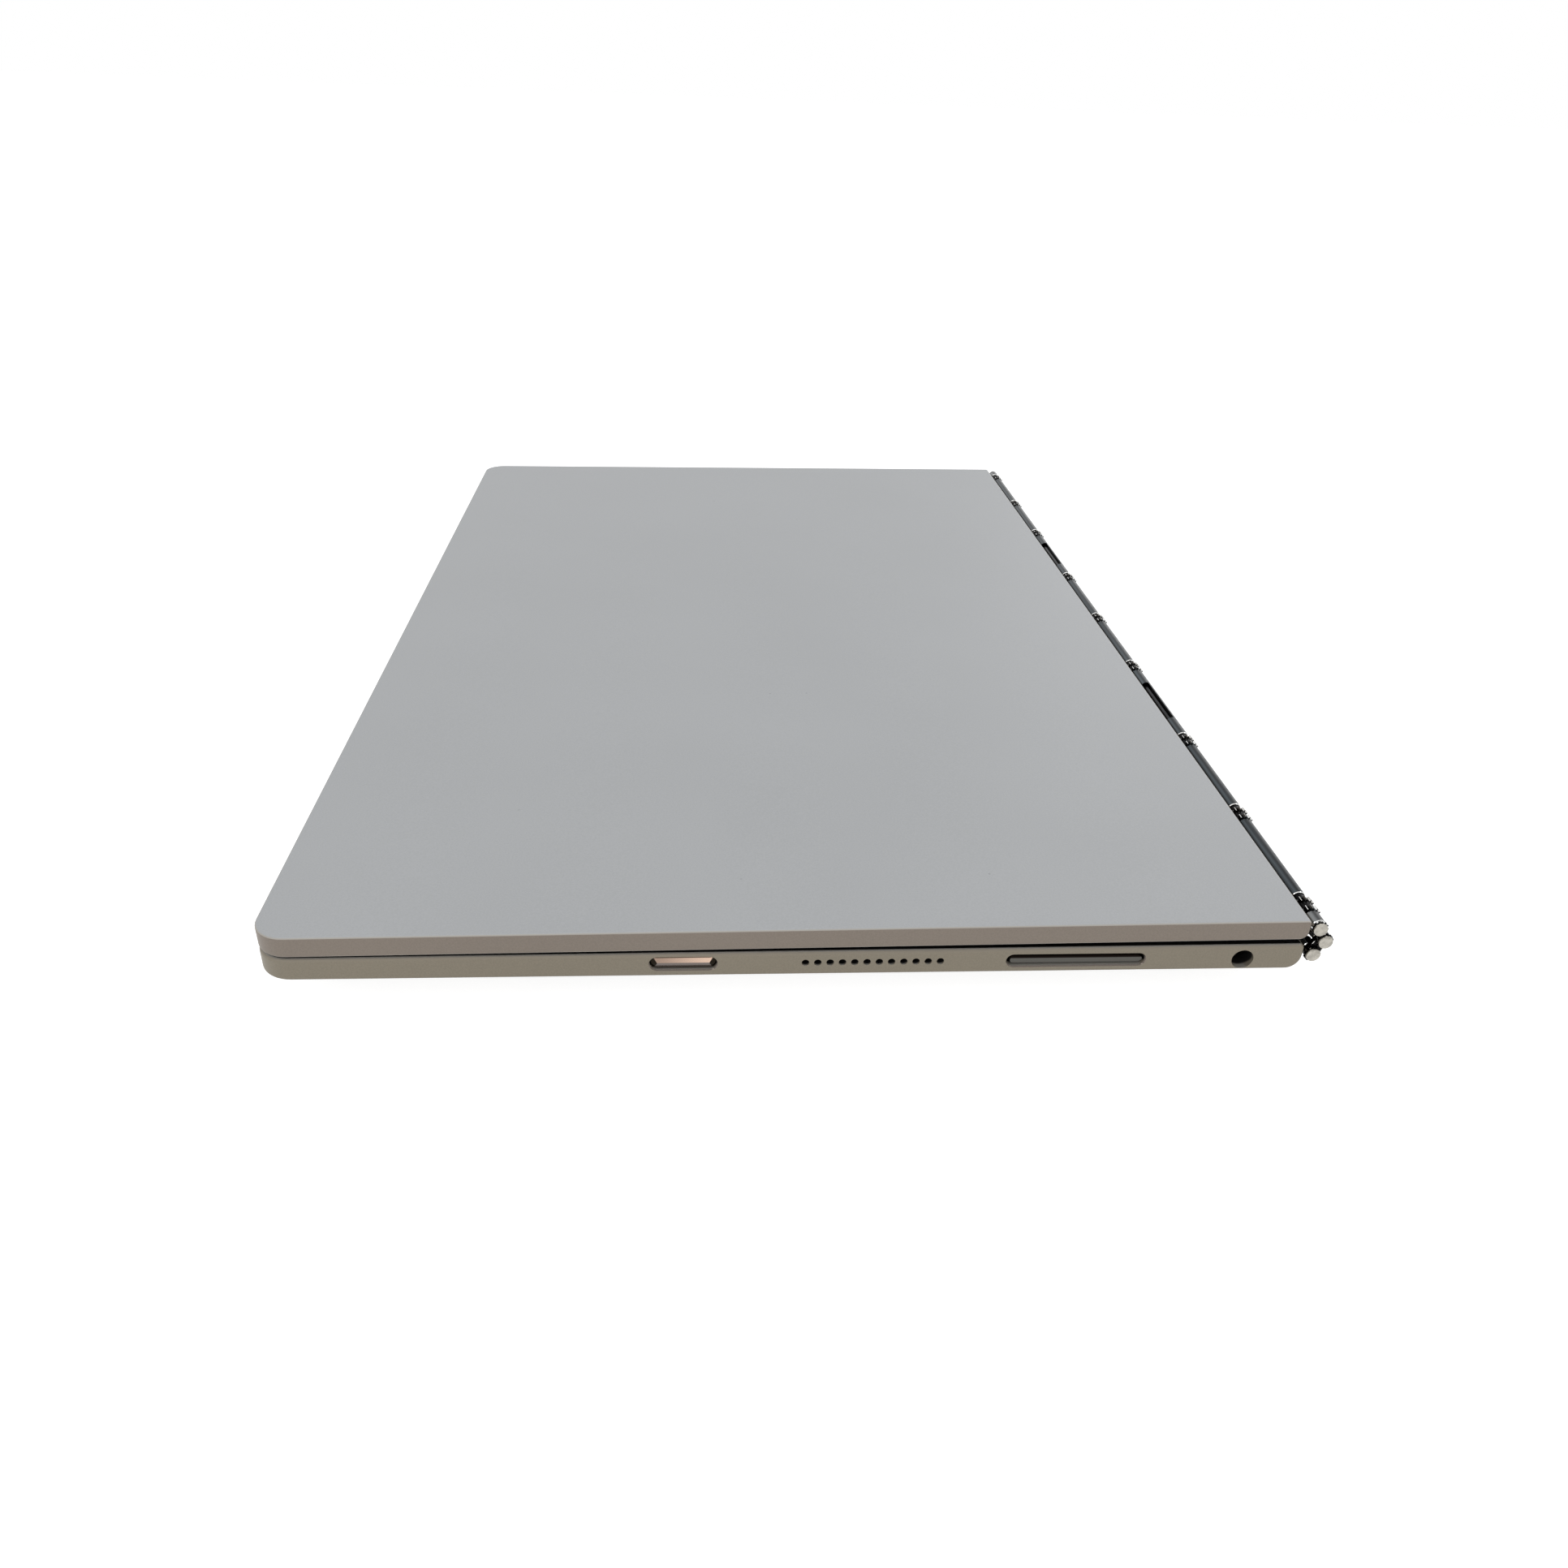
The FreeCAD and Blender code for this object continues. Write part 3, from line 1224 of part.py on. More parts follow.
def geared_barrel(name, length, neck, gap, right=None):
    """A barrel with a toothed wheel on its left end."""
    body = barrel(name, length, left_step(neck, "gear_width", GEAR_TIP), right)
    cut_teeth(body, name, f"-({neck} + gear_width)", "gear_width", gap)
    return body


def all_copies(prefix, frame, masters, right_end, left_end, left_length):
    """Copies of the long barrels between their two end barrels on one axis."""
    items = [copy_of(right_end, f"{prefix}_right_end", frame, barrel_x(0))]
    for index, master in masters.items():
        items.append(copy_of(master, f"{prefix}_{index}", frame, barrel_x(index)))
    items.append(copy_of(left_end, f"{prefix}_left_end", frame, f"{LEFT_END_X} - {left_length}"))
    return items


def lid_barrels():
    """The lid axis: leafed barrels, cable barrels with their windows, and the end barrels."""
    plain = geared_barrel("lid_barrel", LONG_BARREL, NECK, OUTER_GAP, plate_neck(LONG_BARREL))
    add_leaf(plain, "lid_barrel", LONG_BARREL)
    cable = geared_barrel("lid_cable_barrel", CABLE_BARREL, NECK, OUTER_GAP, plate_neck(CABLE_BARREL))
    window = sketch_on(cable, "cable_window", "YZ_Plane", f"{CABLE_BARREL} / 2")
    rectangle(window, (f"-{GEAR_TIP}", "cable_window_floor"), ("cable_window_reach", GEAR_TIP))
    pocket(cable, window, "cable_window_cut", "cable_window_length", both_ways=True)
    right = geared_barrel("lid_right_end", END_BARREL, NECK, OUTER_GAP,
                          right_step(END_BARREL, NECK, "end_gear_width", END_TIP))
    cut_teeth(right, "lid_right_ring", f"{END_BARREL} + {NECK}", "end_gear_width", OUTER_GAP)
    left = barrel("lid_left_end", END_BARREL, left_step(NECK, "end_gear_width", END_TIP),
                  plate_neck(END_BARREL))
    cut_teeth(left, "lid_left_ring", f"-({NECK} + end_gear_width)", "end_gear_width", OUTER_GAP)
    masters = {index: plain for index in hinge_screw_barrels()}
    group("lid_barrels", all_copies("lid_barrel_copy", LID, masters, right, left, END_BARREL))
    group("lid_cable_barrels", [
        copy_of(cable, f"lid_cable_barrel_copy_{index}", LID, barrel_x(index)) for index in CABLE_BARRELS
    ])


def middle_barrels():
    """The middle axis: plain geared barrels between the two links."""
    masters = {
        LONG_BARREL: geared_barrel("middle_barrel", LONG_BARREL, NECK, MIDDLE_GAP),
        CABLE_BARREL: geared_barrel("middle_long_barrel", CABLE_BARREL, NECK, MIDDLE_GAP),
    }
    right = geared_barrel("middle_right_end", SHORT_END, NECK, MIDDLE_GAP)
    left = barrel("middle_left_end", SHORT_END)
    chosen = {index: masters[barrel_length(index)] for index in LONG_BARRELS}
    group("middle_barrels", all_copies("middle_barrel_copy", MIDDLE_AXIS, chosen, right, left, SHORT_END))


def base_barrels():
    """The base axis: leafed barrels whose wheels stand on long necks."""
    plain = geared_barrel("base_barrel", LONG_BARREL, LONG_NECK, OUTER_GAP)
    add_leaf(plain, "base_barrel", LONG_BARREL)
    cable = geared_barrel("base_long_barrel", CABLE_BARREL, LONG_NECK, OUTER_GAP)
    right = geared_barrel("base_right_end", SHORT_END, LONG_NECK, OUTER_GAP)
    left = barrel("base_left_end", SHORT_END)
    chosen = {index: cable if index in CABLE_BARRELS else plain for index in LONG_BARRELS}
    group("base_barrels", all_copies("base_barrel_copy", BASE_AXIS, chosen, right, left, SHORT_END))


def toothed_ring(name, width, tip, gap, y):
    """A loose toothed wheel whose right face is at X 0, on an axis that lies at that Y."""
    body = turned(name, [(f"-{width}", BORE), (f"-{width}", tip), ("0", tip), ("0", BORE)])
    cut_teeth(body, name, f"-{width}", width, gap)
    return WORLD.place(body, "0", y)


def link(name, width, wheel_width=None, tip=GEAR_TIP):
    """A link plate from its first axis at the origin to a second one along Y, with fixed wheels if asked."""
    body = doc.addObject("PartDesign::Body", f"{name}_plate")
    outline = sketch_on(body, f"{name}_outline", "YZ_Plane")
    pill(outline, ("axis_pitch / 2", "0"), f"axis_pitch + 2 * {PLATE_ROUND}", f"2 * {PLATE_ROUND}")
    pad(body, outline, f"{name}_sheet", width)
    bores = sketch_on(body, f"{name}_bores", "YZ_Plane")
    for shift in ("0", "axis_pitch"):
        circle(bores, (shift, "0"), BORE)
    pocket(body, bores, f"{name}_bores_cut", both_ways=True)
    if wheel_width is None:
        return body
    first = toothed_ring(f"{name}_first_wheel", wheel_width, tip, OUTER_GAP, "0")
    second = toothed_ring(f"{name}_second_wheel", wheel_width, tip, MIDDLE_GAP, "axis_pitch")
    return joined(name, [body, first, second])


def links():
    """The link plates that tie each pair of neighbouring axes together."""
    lower = link("base_link", "plate_width")
    upper = link("lid_link", "plate_width", "gear_width")
    outer = link("end_link", "end_plate_width", "end_gear_width", END_TIP)
    group("base_links", [
        copy_of(lower, f"base_link_copy_{index}", BASE_AXIS,
                f"{barrel_x(index)} - {CLUSTER} + axial_clearance", TO_MIDDLE_FROM_BASE)
        for index in CLUSTERS
    ])
    group("lid_links", [
        copy_of(upper, f"lid_link_copy_{index}", LID, f"{barrel_x(index)} - {LONG_NECK}", TO_MIDDLE_FROM_LID)
        for index in CLUSTERS
    ])
    reach = f"({END_BARREL} + {NECK})"
    group("end_links", [
        copy_of(outer, "end_link_right", BASE_AXIS, f"{barrel_x(0)} + {reach}", FLIPPED_END),
        copy_of(outer, "end_link_left", BASE_AXIS, f"{LEFT_END_X} - {reach}", TO_MIDDLE_FROM_BASE),
    ])


def rods_and_caps():
    """A rod through every axis and a rounded cap on each of its ends."""
    start = f"({HALF_WIDTH} - cap_thickness)"
    bend = "cap_round * (1 - sqrt(0.5))"
    cap = turned("end_cap", [
        ("0", "0"), ("0", "cap_radius"), ("cap_thickness - cap_round", "cap_radius"),
        (f"cap_thickness - {bend}", f"cap_radius - {bend}"),
        ("cap_thickness", "cap_radius - cap_round"), ("cap_thickness", "0"),
    ])
    for name, frame in (("base", BASE_AXIS), ("middle", MIDDLE_AXIS), ("lid", LID)):
        label = f"{name}_hinge_rod"
        keep(label, rod(label, frame, (f"-{start}", "0", "0"), "rod_radius", f"2 * {start}"))
        group(f"{name}_end_caps", [
            copy_of(cap, f"{name}_cap_right", frame, start),
            copy_of(cap, f"{name}_cap_left", frame, f"-{start}", TURNED_ROUND),
        ])


def hinge_screws():
    """Flat-headed screws that hold the leaves to the base rail and to the lid rail."""
    y = f"(-{EDGE_GAP} - hinge_screw_setback)"
    face = "(leaf_thickness / 2)"
    length = "leaf_thickness + hinge_screw_depth"
    for name, frame, shank_z, head_z in (
        ("base", BASE_AXIS, f"-{face} - hinge_screw_depth", face),
        ("lid", LID, f"-{face}", f"-{face} - screw_head_height"),
    ):
        shank = disc(f"{name}_hinge_screw_shank", WORLD, ("0", y, shank_z), "screw_radius", length)
        head = disc(f"{name}_hinge_screw_head", WORLD, ("0", y, head_z),
                    "screw_head_radius", "screw_head_height")
        screw = joined(f"{name}_hinge_screw", [shank, head])
        group(f"{name}_hinge_screws", [
            copy_of(screw, f"{name}_hinge_screw_{index}", frame, f"{barrel_x(index)} + {LONG_BARREL} / 2")
            for index in hinge_screw_barrels()
        ])


# Display half, modelled flat with its hinge axis at the origin


LID_BACK = f"(-{EDGE_GAP})"
LID_FRONT = f"({LID_BACK} - panel_depth)"
LID_RAIL_BACK = f"({LID_BACK} - back_wall)"
LID_RAIL_FRONT = f"({LID_RAIL_BACK} - rail_width)"
DISPLAY_BACK = f"({LID_BACK} - display_from_back)"
LID_CABLE_Z = f"({LID_GLASS_TOP} + display_board_thickness + sheet_gap)"


def lid_cover():
    """The metal lid: a thin tray that opens downwards, with a glass bed and a hinge rail."""
    body = doc.addObject("PartDesign::Body", "lid_cover")
    profile = sketch_on(body, "lid_profile", "YZ_Plane")
    rectangle(profile, (LID_FRONT, LID_INNER), (LID_BACK, LID_OUTER))
    pad(body, profile, "lid_slab", "overall_width", both_ways=True)
    round_edges(body, "lid_front_corners", "front_corner_radius",
                lambda start, end: upright(start, end) and close_to(start.y, LID_FRONT))
    for name, height in (("inner", LID_INNER), ("nape", LID_OUTER)):
        round_edges(body, f"lid_{name}", f"lid_{name}_round",
                    lambda start, end: all(
                        close_to(point.y, LID_BACK) and close_to(point.z, height) for point in (start, end)))
    round_edges(body, "lid_outline", "lid_edge_round",
                lambda start, end: all(
                    close_to(abs(point.x), HALF_WIDTH) and close_to(point.z, LID_OUTER)
                    for point in (start, end)))
    bed = sketch_on(body, "screen_bed_outline", "XY_Plane", f"{LID_GLASS_TOP} + glass_bed")
    rounded_sheet(bed, (f"-{HALF_WIDTH} + rim_width", f"{LID_FRONT} + rim_width"),
                  (f"{HALF_WIDTH} - rim_width", f"{LID_BACK} - rim_width"), "front_corner_radius - rim_width")
    pocket(body, bed, "screen_bed_cut")
    below = f"({LID_INNER} - cut_overshoot)"
    face = "(leaf_thickness / 2)"
    cavity = sketch_on(body, "lid_cavity_profile", "YZ_Plane")
    polygon(cavity, [
        (f"{LID_FRONT} + {WALL}", below), (LID_RAIL_BACK, below), (LID_RAIL_BACK, face),
        (LID_RAIL_FRONT, face), (LID_RAIL_FRONT, LID_CEILING), (f"{LID_FRONT} + {WALL}", LID_CEILING),
    ])
    pocket(body, cavity, "lid_cavity_cut", f"2 * {INNER_X}", both_ways=True)
    slot = sketch_on(body, "lid_leaf_slot_profile", "YZ_Plane")
    rectangle(slot, (f"{LID_RAIL_BACK} - leaf_slot_overlap", f"-{face} - leaf_slot_clearance"), ("0", face))
    pocket(body, slot, "lid_leaf_slot_cut", f"overall_width - 2 * end_length - 2 * {CLUSTER}", both_ways=True)
    holes = sketch_on(body, "lid_rail_holes", "XY_Plane", face)
    for index in hinge_screw_barrels():
        x = f"{barrel_x(index)} + {LONG_BARREL} / 2"
        circle(holes, (x, f"{LID_BACK} - hinge_screw_setback"), "screw_radius + screw_hole_clearance")
    pocket(body, holes, "lid_rail_holes_cut", "hinge_screw_depth", backwards=True)
    LID.place(body)
    keep("lid_cover", body)


def display():
    """The screen glass and what lies behind it."""
    inset = "(rim_width + glass_clearance)"
    plate("screen_glass", LID,
          (f"-{HALF_WIDTH} + {inset}", f"{LID_FRONT} + {inset}", LID_INNER),
          (f"{HALF_WIDTH} - {inset}", f"{LID_BACK} - {inset}", LID_GLASS_TOP),
          f"front_corner_radius - {inset}")
    plate("display_panel", LID,
          (f"-{DISPLAY_LENGTH} / 2", f"{DISPLAY_BACK} - {DISPLAY_DEPTH}", LID_GLASS_TOP),
          (f"{DISPLAY_LENGTH} / 2", DISPLAY_BACK, f"{LID_GLASS_TOP} + display_thickness"))
    back = f"({LID_GLASS_TOP} + display_thickness + display_gap)"
    plate("display_backlight", LID,
          (f"-{DISPLAY_LENGTH} / 2 + backlight_inset",
           f"{DISPLAY_BACK} - {DISPLAY_DEPTH} + backlight_inset", back),
          (f"{DISPLAY_LENGTH} / 2 - backlight_inset", f"{DISPLAY_BACK} - backlight_inset",
           f"{back} + backlight_thickness"))
    board_front = f"({DISPLAY_BACK} + display_board_gap)"
    keep("display_board", box("display_board", LID, (
        "-display_board_length / 2", board_front, LID_GLASS_TOP,
    ), ("display_board_length", "display_board_depth", "display_board_thickness")))
    cable_front = f"({board_front} + display_board_depth / 2)"
    group("lid_display_cables", [
        box(f"lid_display_cable_{index}", LID, (
            f"{barrel_x(index)} + {CABLE_BARREL} / 2 - cable_width / 2", cable_front, LID_CABLE_Z,
        ), ("cable_width", f"-lid_cable_end - {cable_front}", "cable_thickness"))
        for index in CABLE_BARRELS
    ])
    keep("front_camera", box("front_camera", LID, (
        "-front_camera_side / 2",
        f"{LID_FRONT} + front_camera_from_front - front_camera_side / 2", LID_GLASS_TOP,
    ), ("front_camera_side", "front_camera_side", "front_camera_depth")))
    group("lid_magnets", [
        box(f"lid_magnet_{index}", LID, (
            f"{side} * ({HALF_WIDTH} - magnet_from_side) - magnet_length / 2",
            f"{LID_FRONT} + {WALL} + magnet_clearance", LID_GLASS_TOP,
        ), ("magnet_length", "magnet_depth", "magnet_thickness"))
        for index, side in enumerate((-1, 1))
    ])
    group("lid_bumpers", [
        disc(f"lid_bumper_{index}", LID, (
            f"{side} * ({HALF_WIDTH} - bumper_inset)", f"{LID_FRONT} + bumper_inset",
            f"{LID_INNER} - bumper_height",
        ), "bumper_radius", "bumper_height")
        for index, side in enumerate((-1, 1))
    ])


def finish(labels):
    """Check every object and sub-part, then write one file for each sub-part."""
    doc.recompute()
    for item in doc.Objects:
        if "Invalid" in item.State or "Error" in item.State:
            raise RuntimeError(f"{item.Name} failed: {item.State}")
    for label, item in labels.items():
        if item.Shape.isNull() or not item.Shape.isValid():
            raise RuntimeError(f"{label} has no valid shape")
    os.makedirs("parts", exist_ok=True)
    for label, item in labels.items():
        item.Shape.exportStep(f"parts/{label}.step")


base_shell()
deck_stack()
battery()
main_board()
speakers()
small_modules()
headphone_jack()
side_sockets()
card_slot()
side_keys()
base_barrels()
middle_barrels()
lid_barrels()
links()
rods_and_caps()
hinge_screws()
lid_cover()
display()
finish(NODES)
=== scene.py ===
"""A very thin convertible laptop, closed above a white ground: its finishes, lights and camera."""

import logging
import math
from abc import ABC, abstractmethod
from dataclasses import dataclass, field
from enum import Enum
from typing import Iterable, Union

import bmesh
import bpy
from mathutils import Matrix, Vector


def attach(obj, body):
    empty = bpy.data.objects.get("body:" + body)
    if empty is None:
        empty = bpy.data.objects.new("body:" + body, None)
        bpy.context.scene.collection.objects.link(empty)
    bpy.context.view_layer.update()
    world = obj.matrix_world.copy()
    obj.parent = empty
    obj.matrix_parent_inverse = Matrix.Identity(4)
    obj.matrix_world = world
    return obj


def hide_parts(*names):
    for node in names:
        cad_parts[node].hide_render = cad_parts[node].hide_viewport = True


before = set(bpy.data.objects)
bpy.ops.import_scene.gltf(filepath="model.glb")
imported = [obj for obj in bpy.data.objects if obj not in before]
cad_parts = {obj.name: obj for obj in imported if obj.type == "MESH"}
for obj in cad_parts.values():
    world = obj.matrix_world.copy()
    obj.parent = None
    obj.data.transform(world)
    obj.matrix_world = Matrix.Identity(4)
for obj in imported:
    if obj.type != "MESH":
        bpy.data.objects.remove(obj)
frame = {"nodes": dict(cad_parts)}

LOG = logging.getLogger("laptop")
MM = 0.001

Colour = tuple[float, float, float]
Point = tuple[float, float, float]
Spot = tuple[float, float]

# The outline that both shells share, and their edges' heights at front and back, in millimetres.
HALF_WIDTH = 128.3
FRONT_Y = -85.6
BACK_Y = 80.7
DECK_EDGE = (4.05, 4.85)
LID_EDGE = (4.45, 5.95)
# Where the two cameras look out, as x and y in millimetres.
REAR_CAMERA = (110.3, 60.9)
FRONT_CAMERA = (0.0, -78.1)
# Scales of a grain: even, drawn out along one axis, or drawn round the x axis.
EVEN = (1.0, 1.0, 1.0)
ALONG_X = (0.03, 1.0, 1.0)
ALONG_Y = (1.0, 0.03, 1.0)
ALONG_Z = (1.0, 1.0, 0.05)
FINE_ALONG_Z = (1.0, 1.0, 0.03)
LONG_ALONG_X = (0.012, 1.0, 1.0)
ROUND_X = (1.0, 0.03, 0.03)
# Edges that turn by more than this are drawn sharp.
SHARP_ANGLE = math.radians(35.0)


def srgb(red: int, green: int, blue: int) -> Colour:
    """Linear colour of a display colour, by the standard display curve.

    Args:
        red: Red from 0 to 255.
        green: Green from 0 to 255.
        blue: Blue from 0 to 255.

    Returns:
        The three linear parts.
    """
    return tuple(
        part / 12.92 if part <= 0.04045 else ((part + 0.055) / 1.055) ** 2.4
        for part in (red / 255, green / 255, blue / 255)
    )


def shade(colour: Colour, factor: float) -> Colour:
    """A colour made lighter or darker."""
    return tuple(min(1.0, part * factor) for part in colour)


def solid(colour: Colour) -> tuple[float, float, float, float]:
    """A colour as an opaque socket value."""
    return (*colour, 1.0)


class HingeAxis(Enum):
    """The three parallel axes of the hinge train, as y and z in millimetres."""

    BASE = (82.5, 2.7)
    MIDDLE = (83.95, 5.2115)
    LID = (82.5, 7.7229)


class Value:
    """An output socket that takes part in arithmetic."""

    def __init__(self, recipe: "Recipe", socket: bpy.types.NodeSocket | None) -> None:
        """Keep the socket, if the node has one, and the recipe that new nodes go to."""
        self.recipe = recipe
        self.socket = socket

    def math(self, operation: str, *terms: "Number") -> "Value":
        """Add a Math node on these terms."""
        return self.recipe.node("ShaderNodeMath", {"operation": operation}, dict(enumerate(terms)))

    def __add__(self, other: "Number") -> "Value":
        """Sum."""
        return self.math("ADD", self, other)

    def __radd__(self, other: float) -> "Value":
        """Sum with a number on the left."""
        return self.math("ADD", other, self)

    def __sub__(self, other: "Number") -> "Value":
        """Difference."""
        return self.math("SUBTRACT", self, other)

    def __rsub__(self, other: float) -> "Value":
        """Difference from a number on the left."""
        return self.math("SUBTRACT", other, self)

    def __mul__(self, other: "Number") -> "Value":
        """Product."""
        return self.math("MULTIPLY", self, other)

    def __rmul__(self, other: float) -> "Value":
        """Product with a number on the left."""
        return self.math("MULTIPLY", other, self)

    def __abs__(self) -> "Value":
        """Size without sign."""
        return self.math("ABSOLUTE", self)

    def least(self, other: "Number") -> "Value":
        """The smaller of two."""
        return self.math("MINIMUM", self, other)

    def most(self, other: "Number") -> "Value":
        """The larger of two."""
        return self.math("MAXIMUM", self, other)

    def whole(self) -> "Value":
        """The whole number below."""
        return self.math("FLOOR", self)

    def part(self) -> "Value":
        """What is left above the whole number below."""
        return self.math("FRACT", self)

    def hypot(self, other: "Value") -> "Value":
        """Length of a pair of legs."""
        total = self * self + other * other
        return self.math("SQRT", total)

    def rise(self, low: float, high: float) -> "Value":
        """A smooth step up.

        Args:
            low: Where it is 0.
            high: Where it is 1.

        Returns:
            The step.
        """
        return self.recipe.node(
            "ShaderNodeMapRange",
            {"interpolation_type": "SMOOTHSTEP"},
            {"Value": self, "From Min": low, "From Max": high},
        )

    def fall(self, low: float, high: float) -> "Value":
        """A smooth step from 1 at low to 0 at high."""
        return 1.0 - self.rise(low, high)


Number = Union[Value, float]
Input = Union[Value, float, tuple]


class Recipe:
    """The node tree of a material or of the world, written as expressions."""

    def __init__(self, tree: bpy.types.NodeTree) -> None:
        """Start from an empty tree.

        Args:
            tree: The node tree of a material or of the world.
        """
        self.tree = tree
        self.tree.nodes.clear()
        self._place: Value | None = None

    def node(
        self,
        kind: str,
        settings: dict[str, object] | None = None,
        inputs: dict[Union[str, int], Input] | None = None,
        output: Union[str, int] = 0,
    ) -> Value:
        """Add a node.

        Args:
            kind: The node's type name.
            settings: Properties of the node, set before its sockets.
            inputs: Numbers, colours or links for its sockets, by name or number.
            output: The output socket that is wanted.

        Returns:
            The wanted output.
        """
        made = self.tree.nodes.new(kind)
        for name, setting in (settings or {}).items():
            setattr(made, name, setting)
        for key, given in (inputs or {}).items():
            if isinstance(given, Value):
                self.tree.links.new(given.socket, made.inputs[key])
            else:
                made.inputs[key].default_value = given
        return Value(self, made.outputs[output] if made.outputs else None)

    def sibling(self, value: Value, output: str) -> Value:
        """Another output of the node that gave a value."""
        return Value(self, value.socket.node.outputs[output])

    def place(self) -> Value:
        """The point on the piece.

        Returns:
            A vector in millimetres.
        """
        if self._place is None:
            raw = self.node("ShaderNodeTexCoord", output="Object")
            self._place = self.node(
                "ShaderNodeVectorMath", {"operation": "SCALE"}, {0: raw, "Scale": 1 / MM}
            )
        return self._place

    def axes(self, vector: Value) -> tuple[Value, Value, Value]:
        """The three parts of a vector."""
        first = self.node("ShaderNodeSeparateXYZ", None, {0: vector}, "X")
        return first, self.sibling(first, "Y"), self.sibling(first, "Z")

    def xyz(self) -> tuple[Value, Value, Value]:
        """The point on the piece as three numbers, in millimetres."""
        return self.axes(self.place())

    def facing(self) -> tuple[Value, Value, Value]:
        """The three parts of the direction that the surface faces."""
        return self.axes(self.node("ShaderNodeTexCoord", output="Normal"))

    def stretched(self, factors: Point) -> Value:
        """The point on the piece with each axis scaled."""
        sockets = {0: self.place(), 1: factors}
        return self.node("ShaderNodeVectorMath", {"operation": "MULTIPLY"}, sockets)

    def grain(self, size: float, detail: float = 2.0, stretch: Point = EVEN) -> Value:
        """Soft noise.

        Args:
            size: Width of one grain in millimetres.
            detail: How many finer layers it has.
            stretch: Scale of each axis; a small number draws the grain out along it.

        Returns:
            A number about 0.5.
        """
        where = self.stretched(stretch)
        return self.node(
            "ShaderNodeTexNoise", None, {"Vector": where, "Scale": 1 / size, "Detail": detail}
        )

    def cells(self, size: float) -> Value:
        """Distance to the nearest of scattered dots, as a share of their spacing."""
        return self.node("ShaderNodeTexVoronoi", None, {"Vector": self.place(), "Scale": 1 / size})

    def blend(
        self, factor: Value, low: Union[Value, Colour], high: Union[Value, Colour]
    ) -> Value:
        """Mix two colours.

        Args:
            factor: 0 for the first, 1 for the second.
            low: The first colour.
            high: The second colour.

        Returns:
            The mixed colour.
        """
        given = [end if isinstance(end, Value) else solid(end) for end in (low, high)]
        return self.node(
            "ShaderNodeMix", {"data_type": "RGBA"}, {0: factor, 6: given[0], 7: given[1]}, 2
        )

    def tones(self, factor: Value, colour: Colour, low: float, high: float) -> Value:
        """Mix a darker and a lighter tone of a colour."""
        return self.blend(factor, shade(colour, low), shade(colour, high))

    def bump(self, height: Value, depth: float) -> Value:
        """A surface normal from a height.

        Args:
            height: A number from 0 to 1.
            depth: Height in millimetres of a step from 0 to 1.

        Returns:
            The bent normal.
        """
        return self.node(
            "ShaderNodeBump", None, {"Height": height, "Distance": depth * MM, "Strength": 1.0}
        )

    def from_axis(self, axis: HingeAxis) -> Value:
        """Distance from a hinge axis.

        Args:
            axis: The axis.

        Returns:
            Millimetres.
        """
        _, y, z = self.xyz()
        middle_y, middle_z = axis.value
        return (y - middle_y).hypot(z - middle_z)

    def surface(self, inputs: dict[str, Input]) -> None:
        """End the tree in one general surface shader."""
        shader = self.node("ShaderNodeBsdfPrincipled", None, inputs)
        self.node("ShaderNodeOutputMaterial", None, {"Surface": shader})


def repeat(value: Value, pitch: float) -> Value:
    """Distance from the middle of the nearest of evenly spaced stripes."""
    return abs((value * (1 / pitch)).part() - 0.5) * pitch


def bevelled(turn: Value) -> Value:
    """How far a surface slopes, from how far it faces along an axis: neither square nor level."""
    return turn.rise(0.3, 0.5) * turn.fall(0.85, 0.95)


def outline(across: Value, along: Value, half: Spot, corner: float) -> Value:
    """Signed distance from a rounded rectangle about zero.

    Args:
        across: First coordinate.
        along: Second coordinate.
        half: Half of each side.
        corner: Corner radius.

    Returns:
        The distance, below zero inside.
    """
    out_x = abs(across) - (half[0] - corner)
    out_y = abs(along) - (half[1] - corner)
    outside = out_x.most(0.0).hypot(out_y.most(0.0))
    return outside + out_x.most(out_y).least(0.0) - corner


class Finish(ABC):
    """A surface finish, with its sizes in millimetres."""

    @abstractmethod
    def paint(self, recipe: Recipe) -> dict[str, Input]:
        """Write the nodes and return the shader's inputs."""

    def make(self, name: str) -> bpy.types.Material:
        """Make a material of this finish.

        Args:
            name: Name of the material.

        Returns:
            The material.
        """
        material = bpy.data.materials.new(name)
        material.use_nodes = True
        recipe = Recipe(material.node_tree)
        recipe.surface(self.paint(recipe))
        return material


